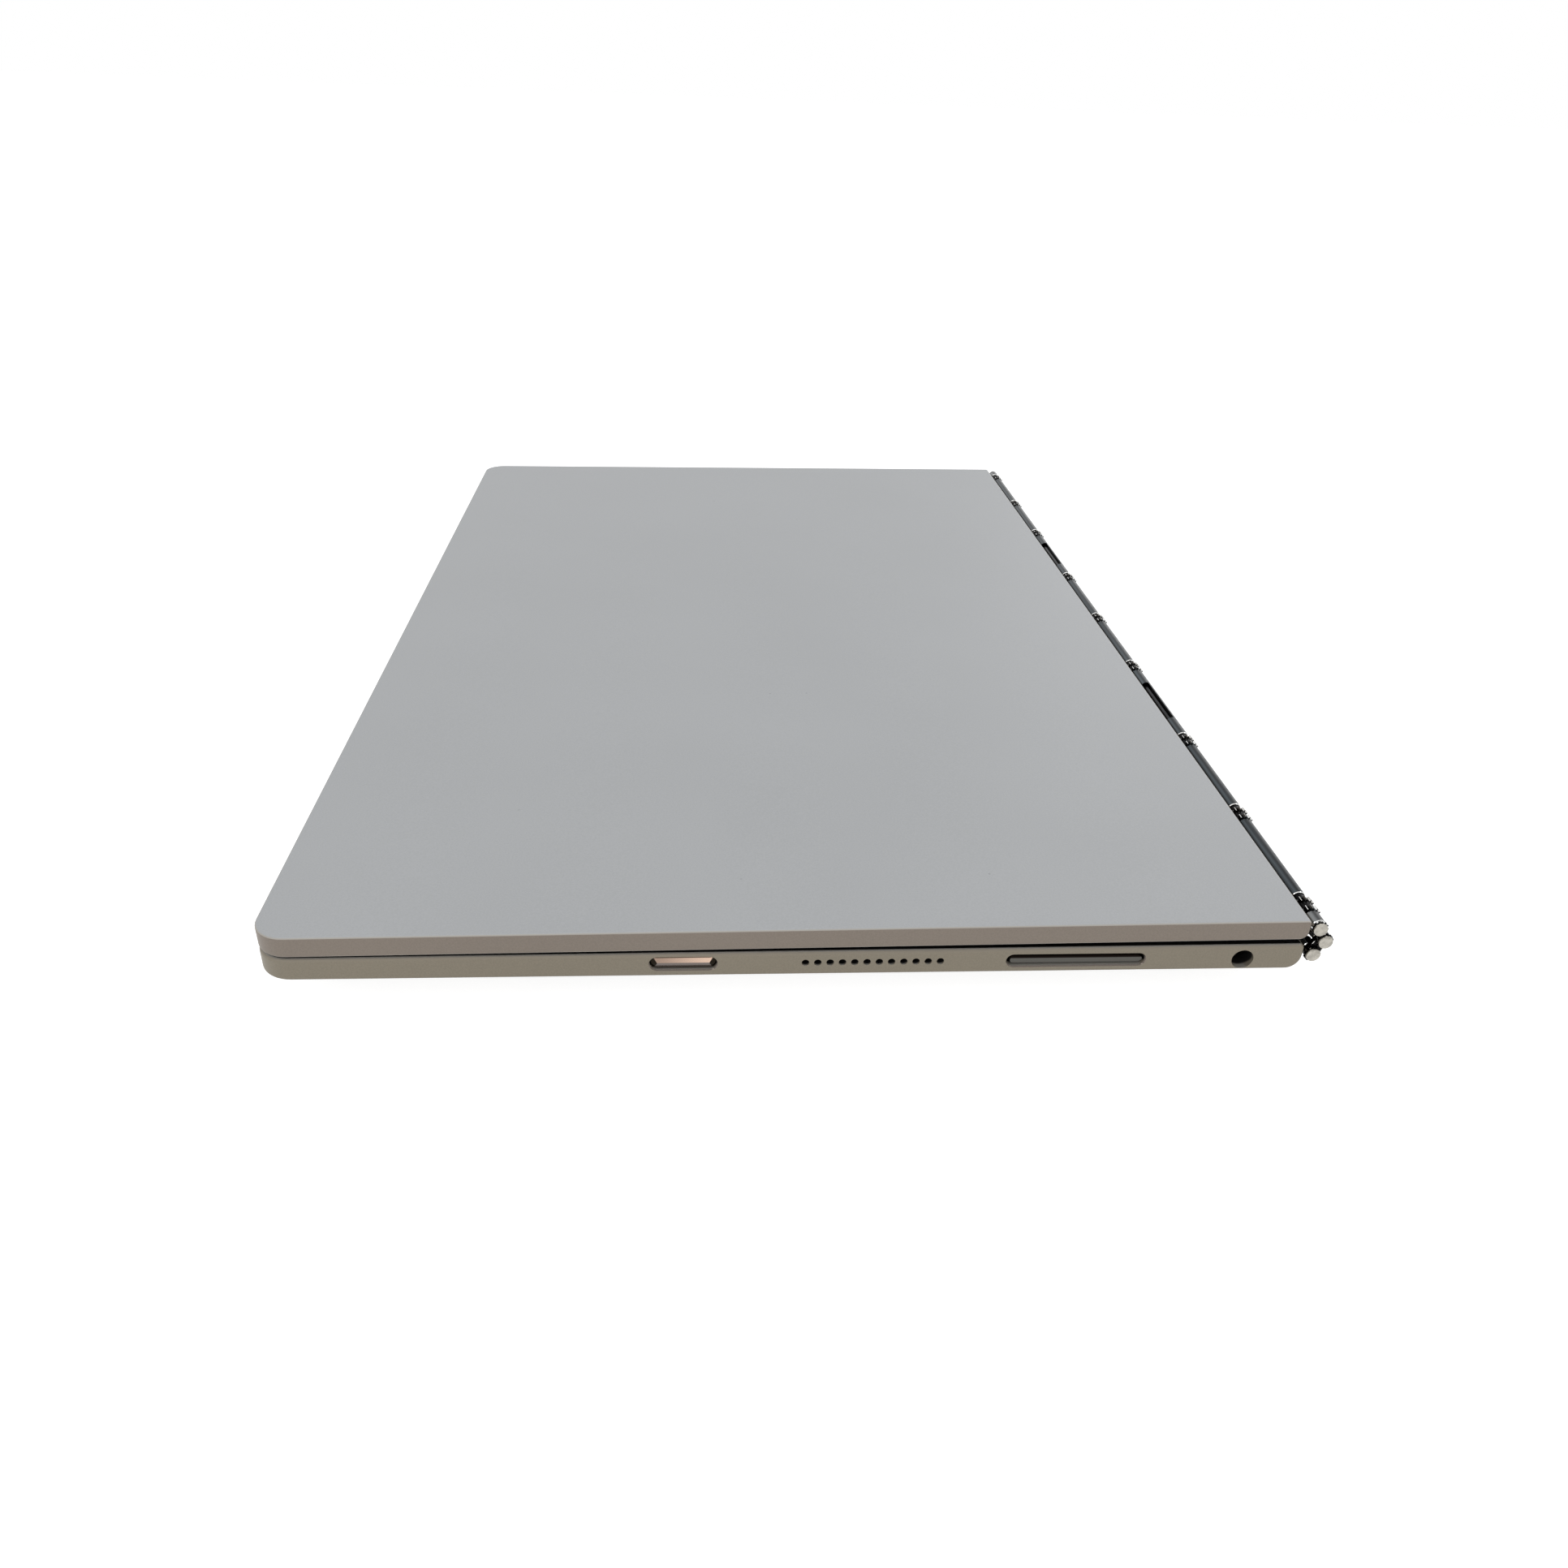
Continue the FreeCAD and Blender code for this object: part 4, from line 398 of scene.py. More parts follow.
@dataclass(frozen=True)
class GrainPaint(Finish):
    """Satin metallic paint with a fine sparkle and painted light: a cool lit tone on broad faces, a
    warm shaded tone on narrow sides and a painted highlight where an edge turns.
    """

    # flat is the lit tone of broad faces, side the painted shade of narrow sides, edge a painted
    # highlight on bends.
    flat: Colour
    side: Colour
    edge: Colour
    grain: float = 0.28
    cloud: float = 38.0
    speck: float = 11.0
    depth: float = 0.012
    metallic: float = 0.3
    roughness: float = 0.46

    def coat(self, recipe: Recipe) -> dict[str, Input]:
        """The paint with painted light: cool lit broad faces, warm shaded narrow sides, a painted
        highlight where an edge turns; and a few dark specks.

        Args:
            recipe: The tree that takes the nodes.

        Returns:
            The shader's inputs by socket.
        """
        grain = recipe.grain(self.grain)
        cloud = recipe.grain(self.cloud)
        _, _, up = recipe.facing()
        level = abs(up)
        tone = (0.7 * grain + 0.3 * cloud).rise(0.3, 0.7)
        specks = recipe.cells(self.speck).fall(0.012, 0.03) * cloud.rise(0.5, 0.56)
        flat = recipe.tones(tone, self.flat, 0.95, 1.05)
        flat = recipe.blend(0.5 * specks, flat, shade(self.flat, 0.5))
        # Narrow sides take a painted shade, and where an edge turns they take a painted highlight.
        side = recipe.tones(tone, self.side, 0.93, 1.07)
        turned = recipe.blend(level.rise(0.25, 0.55), side, self.edge)
        return {
            # Broad faces take the lit tone; the rest takes the painted shade and highlight.
            "Base Color": recipe.blend(level.rise(0.75, 0.97), turned, flat),
            "Metallic": self.metallic,
            "Roughness": self.roughness + 0.16 * (grain - 0.5) + 0.1 * (cloud - 0.5),
            "Specular IOR Level": 0.3,
            "Normal": recipe.bump(grain, self.depth),
        }

    def paint(self, recipe: Recipe) -> dict[str, Input]:
        """Nothing but the paint."""
        return self.coat(recipe)


@dataclass(frozen=True)
class LippedPaint(GrainPaint):
    """The same paint on a lid, with a painted highlight along the lower edge of its sides."""

    # lip is the colour of a painted highlight along the sides' lower edge; lip_grain sizes the noise on
    # its edge.
    lip: Colour = srgb(214, 208, 199)
    lip_height: float = 0.24
    lip_grain: float = 5.0

    def paint(self, recipe: Recipe) -> dict[str, Input]:
        """Paint, then a painted highlight along the lower edge.

        Args:
            recipe: The tree that takes the nodes.

        Returns:
            The shader's inputs by socket.
        """
        coat = self.coat(recipe)
        _, y, z = recipe.xyz()
        _, _, up = recipe.facing()
        slope = (LID_EDGE[1] - LID_EDGE[0]) / (BACK_Y - FRONT_Y)
        rise = z - LID_EDGE[0] - (y - FRONT_Y) * slope
        # This noise only makes the painted highlight's edge uneven.
        wear = recipe.grain(self.lip_grain, 3.0)
        line_and_highlight = (rise + 0.1 * (wear - 0.5)).fall(0.3 * self.lip_height, self.lip_height)
        line_and_highlight = line_and_highlight * abs(up).fall(0.5, 0.8)
        return {**coat, "Base Color": recipe.blend(line_and_highlight, coat["Base Color"], self.lip)}


@dataclass(frozen=True)
class Opening:
    """A mouth with round ends in a side wall: its middle and half its sides, in millimetres."""

    y: float
    z: float
    half: Spot
    polished: bool = False

    def signed(self, y: Value, z: Value) -> Value:
        """Signed distance from the mouth's outline."""
        return outline(y - self.y, z - self.z, self.half, min(self.half))


@dataclass(frozen=True)
class PiercedPaint(GrainPaint):
    """The same paint on a tray with polished bevels and painted shade: a black band on the deck rim for
    the shade under the lid, and dark insides in the side mouths.
    """

    mouths: tuple[Opening, ...] = ()
    bevel: float = 0.15
    # rim and inside are painted shade: on the deck rim under the lid's gap, and behind the mouths'
    # walls.
    rim: Colour = srgb(19, 18, 18)
    rim_shade_start: float = 0.5
    rim_shade_height: float = 3.4
    corner: float = 5.5
    inside: Colour = srgb(9, 8, 8)
    polish: Colour = srgb(104, 96, 90)

    def paint(self, recipe: Recipe) -> dict[str, Input]:
        """Paint, then painted shade on the deck rim and inside the mouths, then the polished bevels.

        Args:
            recipe: The tree that takes the nodes.

        Returns:
            The shader's inputs by socket.
        """
        coat = self.coat(recipe)
        x, y, z = recipe.xyz()
        outwards, _, up = recipe.facing()
        depth = HALF_WIDTH - abs(x)
        dark: Number = 0.0
        rims: Number = 0.0
        for mouth in self.mouths:
            signed = mouth.signed(y, z)
            reach = mouth.half[1] / 3
            # Painted shade behind the wall; on walls that face up it starts further in, as those are
            # lit.
            recess_shade = (depth - reach * up.most(0.0)).rise(reach / 3, 4 * reach / 3)
            dark = (signed.fall(0.05, 0.12) * recess_shade).most(dark)
            if mouth.polished:
                rims = signed.fall(self.bevel + 0.03, self.bevel + 0.08).most(rims)
        bright = rims * bevelled(abs(outwards))
        # Near polished mouths, walls that face up are left out of the painted shade.
        dark = dark * (1.0 - rims * up.rise(0.3, 0.6) * depth.fall(0.9, 1.3))
        half_depth = (BACK_Y + self.corner - FRONT_Y) / 2
        along = y - FRONT_Y - half_depth
        border = outline(x, along, (HALF_WIDTH, half_depth), self.corner).most(y - BACK_Y)
        # The black band on the deck rim is painted shade of the gap under the lid.
        black = up.rise(0.82, 0.95) * border.fall(-self.rim_shade_start - 0.1, -self.rim_shade_start)
        black = black * z.rise(self.rim_shade_height - 0.2, self.rim_shade_height)
        colour = recipe.blend(black, coat["Base Color"], self.rim)
        colour = recipe.blend(dark, colour, self.inside)
        return {
            **coat,
            "Base Color": recipe.blend(bright, colour, self.polish),
            "Metallic": self.metallic * (1.0 - dark) + (1.0 - self.metallic) * bright,
            "Roughness": coat["Roughness"] + 0.4 * dark - 0.24 * bright,
        }


@dataclass(frozen=True)
class DeckGlass(Finish):
    """Black etched glass with the faint frames of touch keys."""

    ink: Colour = srgb(14, 14, 16)
    frame: Colour = srgb(62, 63, 66)
    line: Spot = (0.12, 0.3)
    key: Spot = (17.6, 15.2)
    key_gap: float = 1.5
    key_corner: float = 2.2
    rows: int = 5
    row_shift: float = 0.27
    keys_back: float = 57.8
    half_width: float = 122.0
    pad_middle: Spot = (0.0, -56.2)
    pad_half: Spot = (44.0, 22.0)
    pad_corner: float = 4.0
    smear_size: float = 14.0
    etch_size: float = 0.12
    roughness: float = 0.3
    relief: float = 0.002

    def paint(self, recipe: Recipe) -> dict[str, Input]:
        """Frames of the keys and of the pad in front of them.

        Args:
            recipe: The tree that takes the nodes.

        Returns:
            The shader's inputs by socket.
        """
        x, y, _ = recipe.xyz()
        row = (self.keys_back - y) * (1 / self.key[1])
        column = x * (1 / self.key[0]) + row.whole() * self.row_shift
        half = ((self.key[0] - self.key_gap) / 2, (self.key[1] - self.key_gap) / 2)
        across = (column.part() - 0.5) * self.key[0]
        along = (row.part() - 0.5) * self.key[1]
        key = outline(across, along, half, self.key_corner)
        rows = row.rise(0.0, 0.02) * row.fall(self.rows - 0.02, self.rows)
        bounds = abs(x).fall(self.half_width - 0.2, self.half_width)
        from_pad = (x - self.pad_middle[0], y - self.pad_middle[1])
        pad = outline(*from_pad, self.pad_half, self.pad_corner)
        lines = abs(key).fall(*self.line) * rows * bounds
        lines = lines.most(abs(pad).fall(*self.line))
        smear = recipe.grain(self.smear_size, 4.0)
        etch = recipe.grain(self.etch_size)
        ink = recipe.tones(smear, self.ink, 1.0, 1.5)
        return {
            "Base Color": recipe.blend(lines, ink, self.frame),
            "Roughness": self.roughness + 0.06 * (smear - 0.5) + 0.1 * (etch - 0.5) + 0.1 * lines,
            "Specular IOR Level": 0.5,
            "Normal": recipe.bump(etch, self.relief),
        }


@dataclass(frozen=True)
class ScreenGlass(Finish):
    """Black cover glass over a dark panel, with a lens spot in its border."""

    border: Colour = srgb(10, 10, 11)
    panel: Colour = srgb(22, 24, 29)
    lens: Colour = srgb(38, 46, 74)
    middle: Spot = (0.0, -2.8)
    half: Spot = (108.5, 67.8)
    corner: float = 0.6
    lens_radius: float = 0.9
    smear_size: float = 22.0
    dots_size: float = 0.09
    roughness: float = 0.06
    relief: float = 0.004

    def paint(self, recipe: Recipe) -> dict[str, Input]:
        """The panel's window, the lens and light finger marks.

        Args:
            recipe: The tree that takes the nodes.

        Returns:
            The shader's inputs by socket.
        """
        x, y, _ = recipe.xyz()
        from_middle = (x - self.middle[0], y - self.middle[1])
        window = outline(*from_middle, self.half, self.corner).fall(-0.15, 0.05)
        ring = (x - FRONT_CAMERA[0]).hypot(y - FRONT_CAMERA[1])
        lens = ring.fall(self.lens_radius, self.lens_radius + 0.1)
        smear = recipe.grain(self.smear_size, 5.0)
        dots = recipe.grain(self.dots_size)
        pane = recipe.tones(dots, self.panel, 0.9, 1.1)
        dark = recipe.blend(window, self.border, pane)
        return {
            "Base Color": recipe.blend(lens, dark, self.lens),
            "Roughness": self.roughness + 0.08 * smear.rise(0.45, 0.75),
            "Coat Weight": 0.4 + 0.2 * smear,
            "Coat Roughness": 0.03,
            "Normal": recipe.bump(smear, self.relief),
        }


@dataclass(frozen=True)
class LensWindow(Finish):
    """Clear hard glass with a dark printed ring."""

    hole: float = 1.9
    ink: Colour = srgb(18, 18, 20)
    clear: Colour = srgb(240, 243, 246)
    smear_size: float = 1.5
    roughness: float = 0.04
    relief: float = 0.001

    def paint(self, recipe: Recipe) -> dict[str, Input]:
        """Clear inside the ring.

        Args:
            recipe: The tree that takes the nodes.

        Returns:
            The shader's inputs by socket.
        """
        x, y, _ = recipe.xyz()
        radius = (x - REAR_CAMERA[0]).hypot(y - REAR_CAMERA[1])
        ring = radius.rise(self.hole - 0.05, self.hole + 0.05)
        smear = recipe.grain(self.smear_size, 3.0)
        return {
            "Base Color": recipe.blend(ring, self.clear, self.ink),
            "Roughness": self.roughness + 0.06 * smear,
            "Alpha": 0.25 + 0.75 * ring,
            "Normal": recipe.bump(smear, self.relief),
        }


def highlight_facing(back: Value, up: Value) -> Value:
    """How far a surface faces up and a little to the front, where the teeth get a painted highlight."""
    return (0.8 * up - 0.6 * back).rise(0.7, 0.95)


@dataclass(frozen=True)
class GearSteel(Finish):
    """Dark satin steel turned about a hinge axis, black in its necks, with painted shade on the side
    that faces back and a painted highlight on teeth that face up.
    """

    axis: HingeAxis
    body: Colour
    # This colour is the black of the necks and teeth, partly standing for shade between the segments,
    # and the painted shade on the back side.
    neck_black_and_shade: Colour = srgb(14, 14, 15)
    bright: Colour = srgb(228, 228, 226)
    neck_radius: float = 1.16
    tooth_radius: float = 1.33
    ring_radius: float = 1.2
    end_ring: float = 127.35
    end_barrel: float = 124.5
    lines_size: float = 0.06
    drawn_size: float = 0.55
    wear_size: float = 2.2
    roughness: float = 0.31
    relief: float = 0.004

    def paint(self, recipe: Recipe) -> dict[str, Input]:
        """Turning lines on the body, painted shade behind, a painted highlight on teeth that face up,
        and polish on the end bevels.

        Args:
            recipe: The tree that takes the nodes.

        Returns:
            The shader's inputs by socket.
        """
        radius = recipe.from_axis(self.axis)
        x, _, _ = recipe.xyz()
        along, back, up = recipe.facing()
        turn = abs(along)
        ring = abs(x).rise(self.end_ring, self.end_ring + 0.03)
        ring = ring * radius.rise(self.ring_radius, self.ring_radius + 0.06)
        tips = radius.rise(self.tooth_radius, self.tooth_radius + 0.06).most(ring)
        necks = radius.fall(self.neck_radius - 0.03, self.neck_radius)
        # Necks and end faces go black, which is partly painted shade between the segments.
        dark = necks.most(turn.rise(0.9, 0.97) * (1.0 - tips))
        lines = recipe.grain(self.lines_size, 1.0, ROUND_X)
        drawn = recipe.grain(self.drawn_size, 2.0, LONG_ALONG_X).rise(0.32, 0.68)
        wear = recipe.grain(self.wear_size, 3.0)
        body = recipe.tones(0.2 * lines + 0.65 * drawn + 0.15 * wear, self.body, 0.6, 1.4)
        near_end = abs(x).rise(self.end_barrel, self.end_barrel + 0.1)
        body = recipe.blend(0.24 * near_end, body, self.bright)
        # Painted shade on the side that faces back.
        body = recipe.blend(0.72 * back.rise(-0.65, -0.1), body, self.neck_black_and_shade)
        body = recipe.blend(dark.most(tips), body, self.neck_black_and_shade)
        # Polish on the end bevels, and a painted highlight on teeth that face up.
        bevel_and_highlight = bevelled(turn).most(tips * highlight_facing(back, up))
        return {
            "Base Color": recipe.blend(bevel_and_highlight, body, self.bright),
            "Metallic": 1.0,
            "Roughness": self.roughness - 0.17 * bevel_and_highlight + 0.14 * (wear - 0.5),
            "Normal": recipe.bump(lines, self.relief),
        }


@dataclass(frozen=True)
class LinkBlack(Finish):
    """Black plated link about two hinge axes, with a bright line along its outline and a painted
    highlight on teeth that face up.
    """

    first: HingeAxis
    second: HingeAxis
    plate: Colour = srgb(24, 24, 25)
    # The bright colour of the edge line and of the painted highlight on the teeth.
    line_and_highlight: Colour = srgb(206, 204, 200)
    plate_radius: float = 1.2
    wear_size: float = 0.5
    roughness: float = 0.36
    relief: float = 0.004

    def reach(self, recipe: Recipe) -> Value:
        """Distance from the line between the two axes.

        Args:
            recipe: The tree that takes the nodes.

        Returns:
            Millimetres.
        """
        _, y, z = recipe.xyz()
        start, end = Vector(self.first.value), Vector(self.second.value)
        along = end - start
        pull = along / along.length_squared
        from_y = y - start.x
        from_z = z - start.y
        share = (from_y * pull.x + from_z * pull.y).most(0.0).least(1.0)
        return (from_y - share * along.x).hypot(from_z - share * along.y)

    def paint(self, recipe: Recipe) -> dict[str, Input]:
        """A painted highlight on tooth tips that face up, and a bright thin line along the plate's
        edge.

        Args:
            recipe: The tree that takes the nodes.

        Returns:
            The shader's inputs by socket.
        """
        reach = self.reach(recipe)
        along, back, up = recipe.facing()
        flank = abs(along).rise(0.8, 0.95)
        line = reach.rise(self.plate_radius - 0.14, self.plate_radius - 0.09)
        line = line * reach.fall(self.plate_radius, self.plate_radius + 0.03) * flank
        tips = reach.rise(self.plate_radius + 0.12, self.plate_radius + 0.2)
        # The edge line, and the painted highlight on teeth that face up.
        bright = line.most(tips * highlight_facing(back, up))
        wear = recipe.grain(self.wear_size, 3.0)
        plate = recipe.tones(wear, self.plate, 0.7, 1.5)
        return {
            "Base Color": recipe.blend(bright, plate, self.line_and_highlight),
            "Metallic": 1.0,
            "Roughness": self.roughness - 0.24 * bright + 0.2 * (wear - 0.5),
            "Normal": recipe.bump(wear, self.relief),
        }


@dataclass(frozen=True)
class TurnedMetal(Finish):
    """Metal faced on a lathe: fine rings about a hinge axis."""

    axis: HingeAxis
    metal: Colour
    ring: float = 0.09
    roughness: float = 0.26
    uneven_size: float = 0.4
    wear_size: float = 0.9
    relief: float = 0.02

    def paint(self, recipe: Recipe) -> dict[str, Input]:
        """Rings of uneven brightness.

        Args:
            recipe: The tree that takes the nodes.

        Returns:
            The shader's inputs by socket.
        """
        radius = recipe.from_axis(self.axis)
        uneven = recipe.grain(self.uneven_size, 2.0)
        ring = repeat(radius + 0.02 * uneven, self.ring) * (2 / self.ring)
        wear = recipe.grain(self.wear_size, 3.0)
        tone = 0.2 * ring + 0.8 * wear.rise(0.3, 0.7)
        return {
            "Base Color": recipe.tones(tone, self.metal, 0.68, 1.16),
            "Metallic": 1.0,
            "Roughness": self.roughness + 0.16 * (wear - 0.5),
            "Normal": recipe.bump(0.3 * ring + wear, self.relief),
        }


@dataclass(frozen=True)
class PolishedKey(Finish):
    """Polished metal key with painted light cut by slope: a tone for the top slope, one for the lower
    slope, and painted shade on the ends and along the top edge.
    """

    # The top slope's tone is painted light, and the end tone is painted shade that also covers the key
    # above lip_shadow_from.
    upper_painted_light: Colour
    lower: Colour
    end: Colour
    ends: Spot
    lip_shadow_from: float
    roughness: float
    lines_size: float = 0.05
    relief: float = 0.002

    def paint(self, recipe: Recipe) -> dict[str, Input]:
        """Painted light by slope, fine lengthwise polish, and a slow painted change of the top slope's
        tone along the key.

        Args:
            recipe: The tree that takes the nodes.

        Returns:
            The shader's inputs by socket.
        """
        _, y, z = recipe.xyz()
        _, sideways, up = recipe.facing()
        lines = recipe.grain(self.lines_size, 2.0, ALONG_Y)
        tone = 0.2 * lines + 0.8 * y.rise(*self.ends)
        upper_painted_light = recipe.tones(tone, self.upper_painted_light, 0.42, 1.08)
        lower = recipe.tones(lines, self.lower, 0.94, 1.06)
        body = recipe.blend(up.rise(0.04, 0.12), lower, upper_painted_light)
        # Painted shade on the end facets and along the top edge, under the slot's lip.
        dark = abs(sideways).rise(0.12, 0.2).most(z.rise(self.lip_shadow_from - 0.15, self.lip_shadow_from))
        return {
            "Base Color": recipe.blend(dark, body, self.end),
            "Metallic": 1.0,
            "Roughness": self.roughness + 0.1 * (lines - 0.5),
            "Normal": recipe.bump(lines, self.relief),
        }


@dataclass(frozen=True)
class DrawnMetal(Finish):
    """Drawn or stamped metal with fine lines along one direction."""

    metal: Colour
    stretch: Point = ALONG_X
    line: float = 0.06
    roughness: float = 0.3
    dents: float = 0.02
    dents_size: float = 3.0

    def paint(self, recipe: Recipe) -> dict[str, Input]:
        """Lines and slight dents.

        Args:
            recipe: The tree that takes the nodes.

        Returns:
            The shader's inputs by socket.
        """
        lines = recipe.grain(self.line, 2.0, self.stretch)
        dents = recipe.grain(self.dents_size, 2.0)
        return {
            "Base Color": recipe.tones(0.6 * lines + 0.4 * dents, self.metal, 0.84, 1.14),
            "Metallic": 1.0,
            "Roughness": self.roughness + 0.16 * (dents - 0.5) + 0.1 * (lines - 0.5),
            "Normal": recipe.bump(0.2 * lines + dents, self.dents),
        }


@dataclass(frozen=True)
class CircuitBoard(Finish):
    """Lacquered circuit board with tracks and tinned pads."""

    lacquer: Colour = srgb(24, 72, 44)
    track: Colour = srgb(42, 104, 62)
    pad: Colour = srgb(198, 186, 142)
    pitch: float = 0.9
    track_edge: Spot = (0.28, 0.34)
    patch: float = 9.0
    pad_pitch: float = 2.4
    cloud_size: float = 5.0
    roughness: float = 0.38
    relief: float = 0.03

    def paint(self, recipe: Recipe) -> dict[str, Input]:
        """Tracks in both directions, and scattered pads.

        Args:
            recipe: The tree that takes the nodes.

        Returns:
            The shader's inputs by socket.
        """
        x, y, _ = recipe.xyz()
        region = recipe.grain(self.patch, 0.0).rise(0.49, 0.51)
        rows = repeat(y, self.pitch).rise(*self.track_edge)
        columns = repeat(x, self.pitch).rise(*self.track_edge)
        track = rows * region + columns * (1.0 - region)
        pads = recipe.cells(self.pad_pitch).fall(0.14, 0.18)
        cloud = recipe.grain(self.cloud_size, 2.0)
        lacquer = recipe.tones(cloud, self.lacquer, 0.85, 1.15)
        return {
            "Base Color": recipe.blend(pads, recipe.blend(track, lacquer, self.track), self.pad),
            "Metallic": pads,
            "Roughness": self.roughness - 0.1 * pads + 0.1 * (cloud - 0.5),
            "Normal": recipe.bump(0.5 * track + pads, self.relief),
        }


@dataclass(frozen=True)
class MouldedPlastic(Finish):
    """Moulded plastic or epoxy with a spark-eroded texture."""

    body: Colour
    texture: float = 0.15
    roughness: float = 0.5
    depth: float = 0.012
    flow_size: float = 6.0

    def paint(self, recipe: Recipe) -> dict[str, Input]:
        """Fine pits and slight flow marks.

        Args:
            recipe: The tree that takes the nodes.

        Returns:
            The shader's inputs by socket.
        """
        pits = recipe.grain(self.texture, 3.0)
        flow = recipe.grain(self.flow_size, 2.0)
        return {
            "Base Color": recipe.tones(0.5 * pits + 0.5 * flow, self.body, 0.8, 1.25),
            "Roughness": self.roughness + 0.2 * (pits - 0.5) + 0.12 * (flow - 0.5),
            "Normal": recipe.bump(pits, self.depth),
        }


@dataclass(frozen=True)
class CellFoil(Finish):
    """Pouch foil with a pressed weave and soft creases."""

    foil: Colour = srgb(58, 60, 63)
    weave: float = 0.8
    creases_size: float = 12.0
    roughness: float = 0.38
    relief: float = 0.08

    def paint(self, recipe: Recipe) -> dict[str, Input]:
        """A pressed cross weave and soft creases.

        Args:
            recipe: The tree that takes the nodes.

        Returns:
            The shader's inputs by socket.
        """
        x, y, _ = recipe.xyz()
        weave = repeat(x + y, self.weave).least(repeat(x - y, self.weave)) * (2 / self.weave)
        creases = recipe.grain(self.creases_size, 4.0)
        return {
            "Base Color": recipe.tones(0.4 * weave + 0.6 * creases, self.foil, 0.75, 1.3),
            "Metallic": 0.7,
            "Roughness": self.roughness + 0.2 * (creases - 0.5) + 0.05 * weave,
            "Normal": recipe.bump(0.15 * weave + creases, self.relief),
        }


@dataclass(frozen=True)
class DottedFilm(Finish):
    """Plastic film with a printed grid of dots."""

    film: Colour
    dot: Colour
    pitch: float = 1.2
    size: float = 0.3
    cloud_size: float = 10.0
    roughness: float = 0.42
    relief: float = 0.01

    def paint(self, recipe: Recipe) -> dict[str, Input]:
        """Dots on a square grid, and a faint cloud.

        Args:
            recipe: The tree that takes the nodes.

        Returns:
            The shader's inputs by socket.
        """
        x, y, _ = recipe.xyz()
        from_dot = (0.5 * self.pitch - repeat(x, self.pitch)).hypot(
            0.5 * self.pitch - repeat(y, self.pitch)
        )
        dots = from_dot.fall(self.size * 0.9, self.size * 1.1)
        cloud = recipe.grain(self.cloud_size, 3.0)
        film = recipe.tones(cloud, self.film, 0.93, 1.04)
        return {
            "Base Color": recipe.blend(dots, film, self.dot),
            "Roughness": self.roughness + 0.2 * (cloud - 0.5),
            "Normal": recipe.bump(dots, self.relief),
        }


@dataclass(frozen=True)
class FlexFilm(Finish):
    """Dark amber film with copper tracks that run along one axis."""

    film: Colour = srgb(58, 44, 28)
    track: Colour = srgb(96, 74, 46)
    pitch: float = 0.7
    cloud_size: float = 3.0
    roughness: float = 0.3
    relief: float = 0.02

    def paint(self, recipe: Recipe) -> dict[str, Input]:
        """Parallel tracks under a thin film.

        Args:
            recipe: The tree that takes the nodes.

        Returns:
            The shader's inputs by socket.
        """
        x, _, _ = recipe.xyz()
        tracks = repeat(x, self.pitch).rise(0.16, 0.2)
        cloud = recipe.grain(self.cloud_size, 3.0)
        film = recipe.tones(cloud, self.film, 0.85, 1.15)
        return {
            "Base Color": recipe.blend(tracks, film, self.track),
            "Metallic": 0.5 * tracks,
            "Roughness": self.roughness + 0.2 * (cloud - 0.5),
            "Normal": recipe.bump(tracks, self.relief),
        }


@dataclass(frozen=True)
class WovenMesh(Finish):
    """Fine woven mesh behind the speaker holes."""

    wire: Colour = srgb(44, 44, 46)
    # hole is painted shade, seen through the mesh's gaps.
    hole: Colour = srgb(5, 5, 5)
    pitch: float = 0.18
    wear_size: float = 1.0
    roughness: float = 0.45
    relief: float = 0.03

    def paint(self, recipe: Recipe) -> dict[str, Input]:
        """Wires in two directions, with painted shade in the holes between.

        Args:
            recipe: The tree that takes the nodes.

        Returns:
            The shader's inputs by socket.
        """
        _, y, z = recipe.xyz()
        wires = repeat(y, self.pitch).most(repeat(z, self.pitch)) * (2 / self.pitch)
        wear = recipe.grain(self.wear_size, 3.0)
        shown = wires.rise(0.45, 0.7)
        wire = recipe.tones(wear, self.wire, 1.0, 1.6)
        return {
            "Base Color": recipe.blend(shown, self.hole, wire),
            "Metallic": 0.6 * shown,
            "Roughness": self.roughness + 0.2 * (wear - 0.5),
            "Normal": recipe.bump(wires, self.relief),
        }


@dataclass(frozen=True)
class CameraBlock(Finish):
    """Black camera block whose top carries stepped lens rings."""

    middle: Spot
    body: Colour = srgb(20, 20, 22)
    ring: Colour = srgb(70, 72, 76)
    lens: Colour = srgb(30, 36, 70)
    lens_radius: float = 1.1
    rings_radius: float = 2.3
    pitch: float = 0.45
    pits_size: float = 0.2
    roughness: float = 0.45
    relief: float = 0.03

    def paint(self, recipe: Recipe) -> dict[str, Input]:
        """Rings about the lens.

        Args:
            recipe: The tree that takes the nodes.

        Returns:
            The shader's inputs by socket.
        """
        x, y, _ = recipe.xyz()
        radius = (x - self.middle[0]).hypot(y - self.middle[1])
        rings = repeat(radius, self.pitch).rise(0.16, 0.2)
        rings = rings * radius.fall(self.rings_radius, self.rings_radius + 0.1)
        pits = recipe.grain(self.pits_size, 3.0)
        body = recipe.tones(pits, self.body, 0.8, 1.25)
        lens = radius.fall(self.lens_radius, self.lens_radius + 0.05)
        return {
            "Base Color": recipe.blend(lens, recipe.blend(rings, body, self.ring), self.lens),
            "Roughness": self.roughness - 0.4 * lens + 0.1 * (pits - 0.5),
            "Normal": recipe.bump(rings + 0.1 * pits, self.relief),
        }


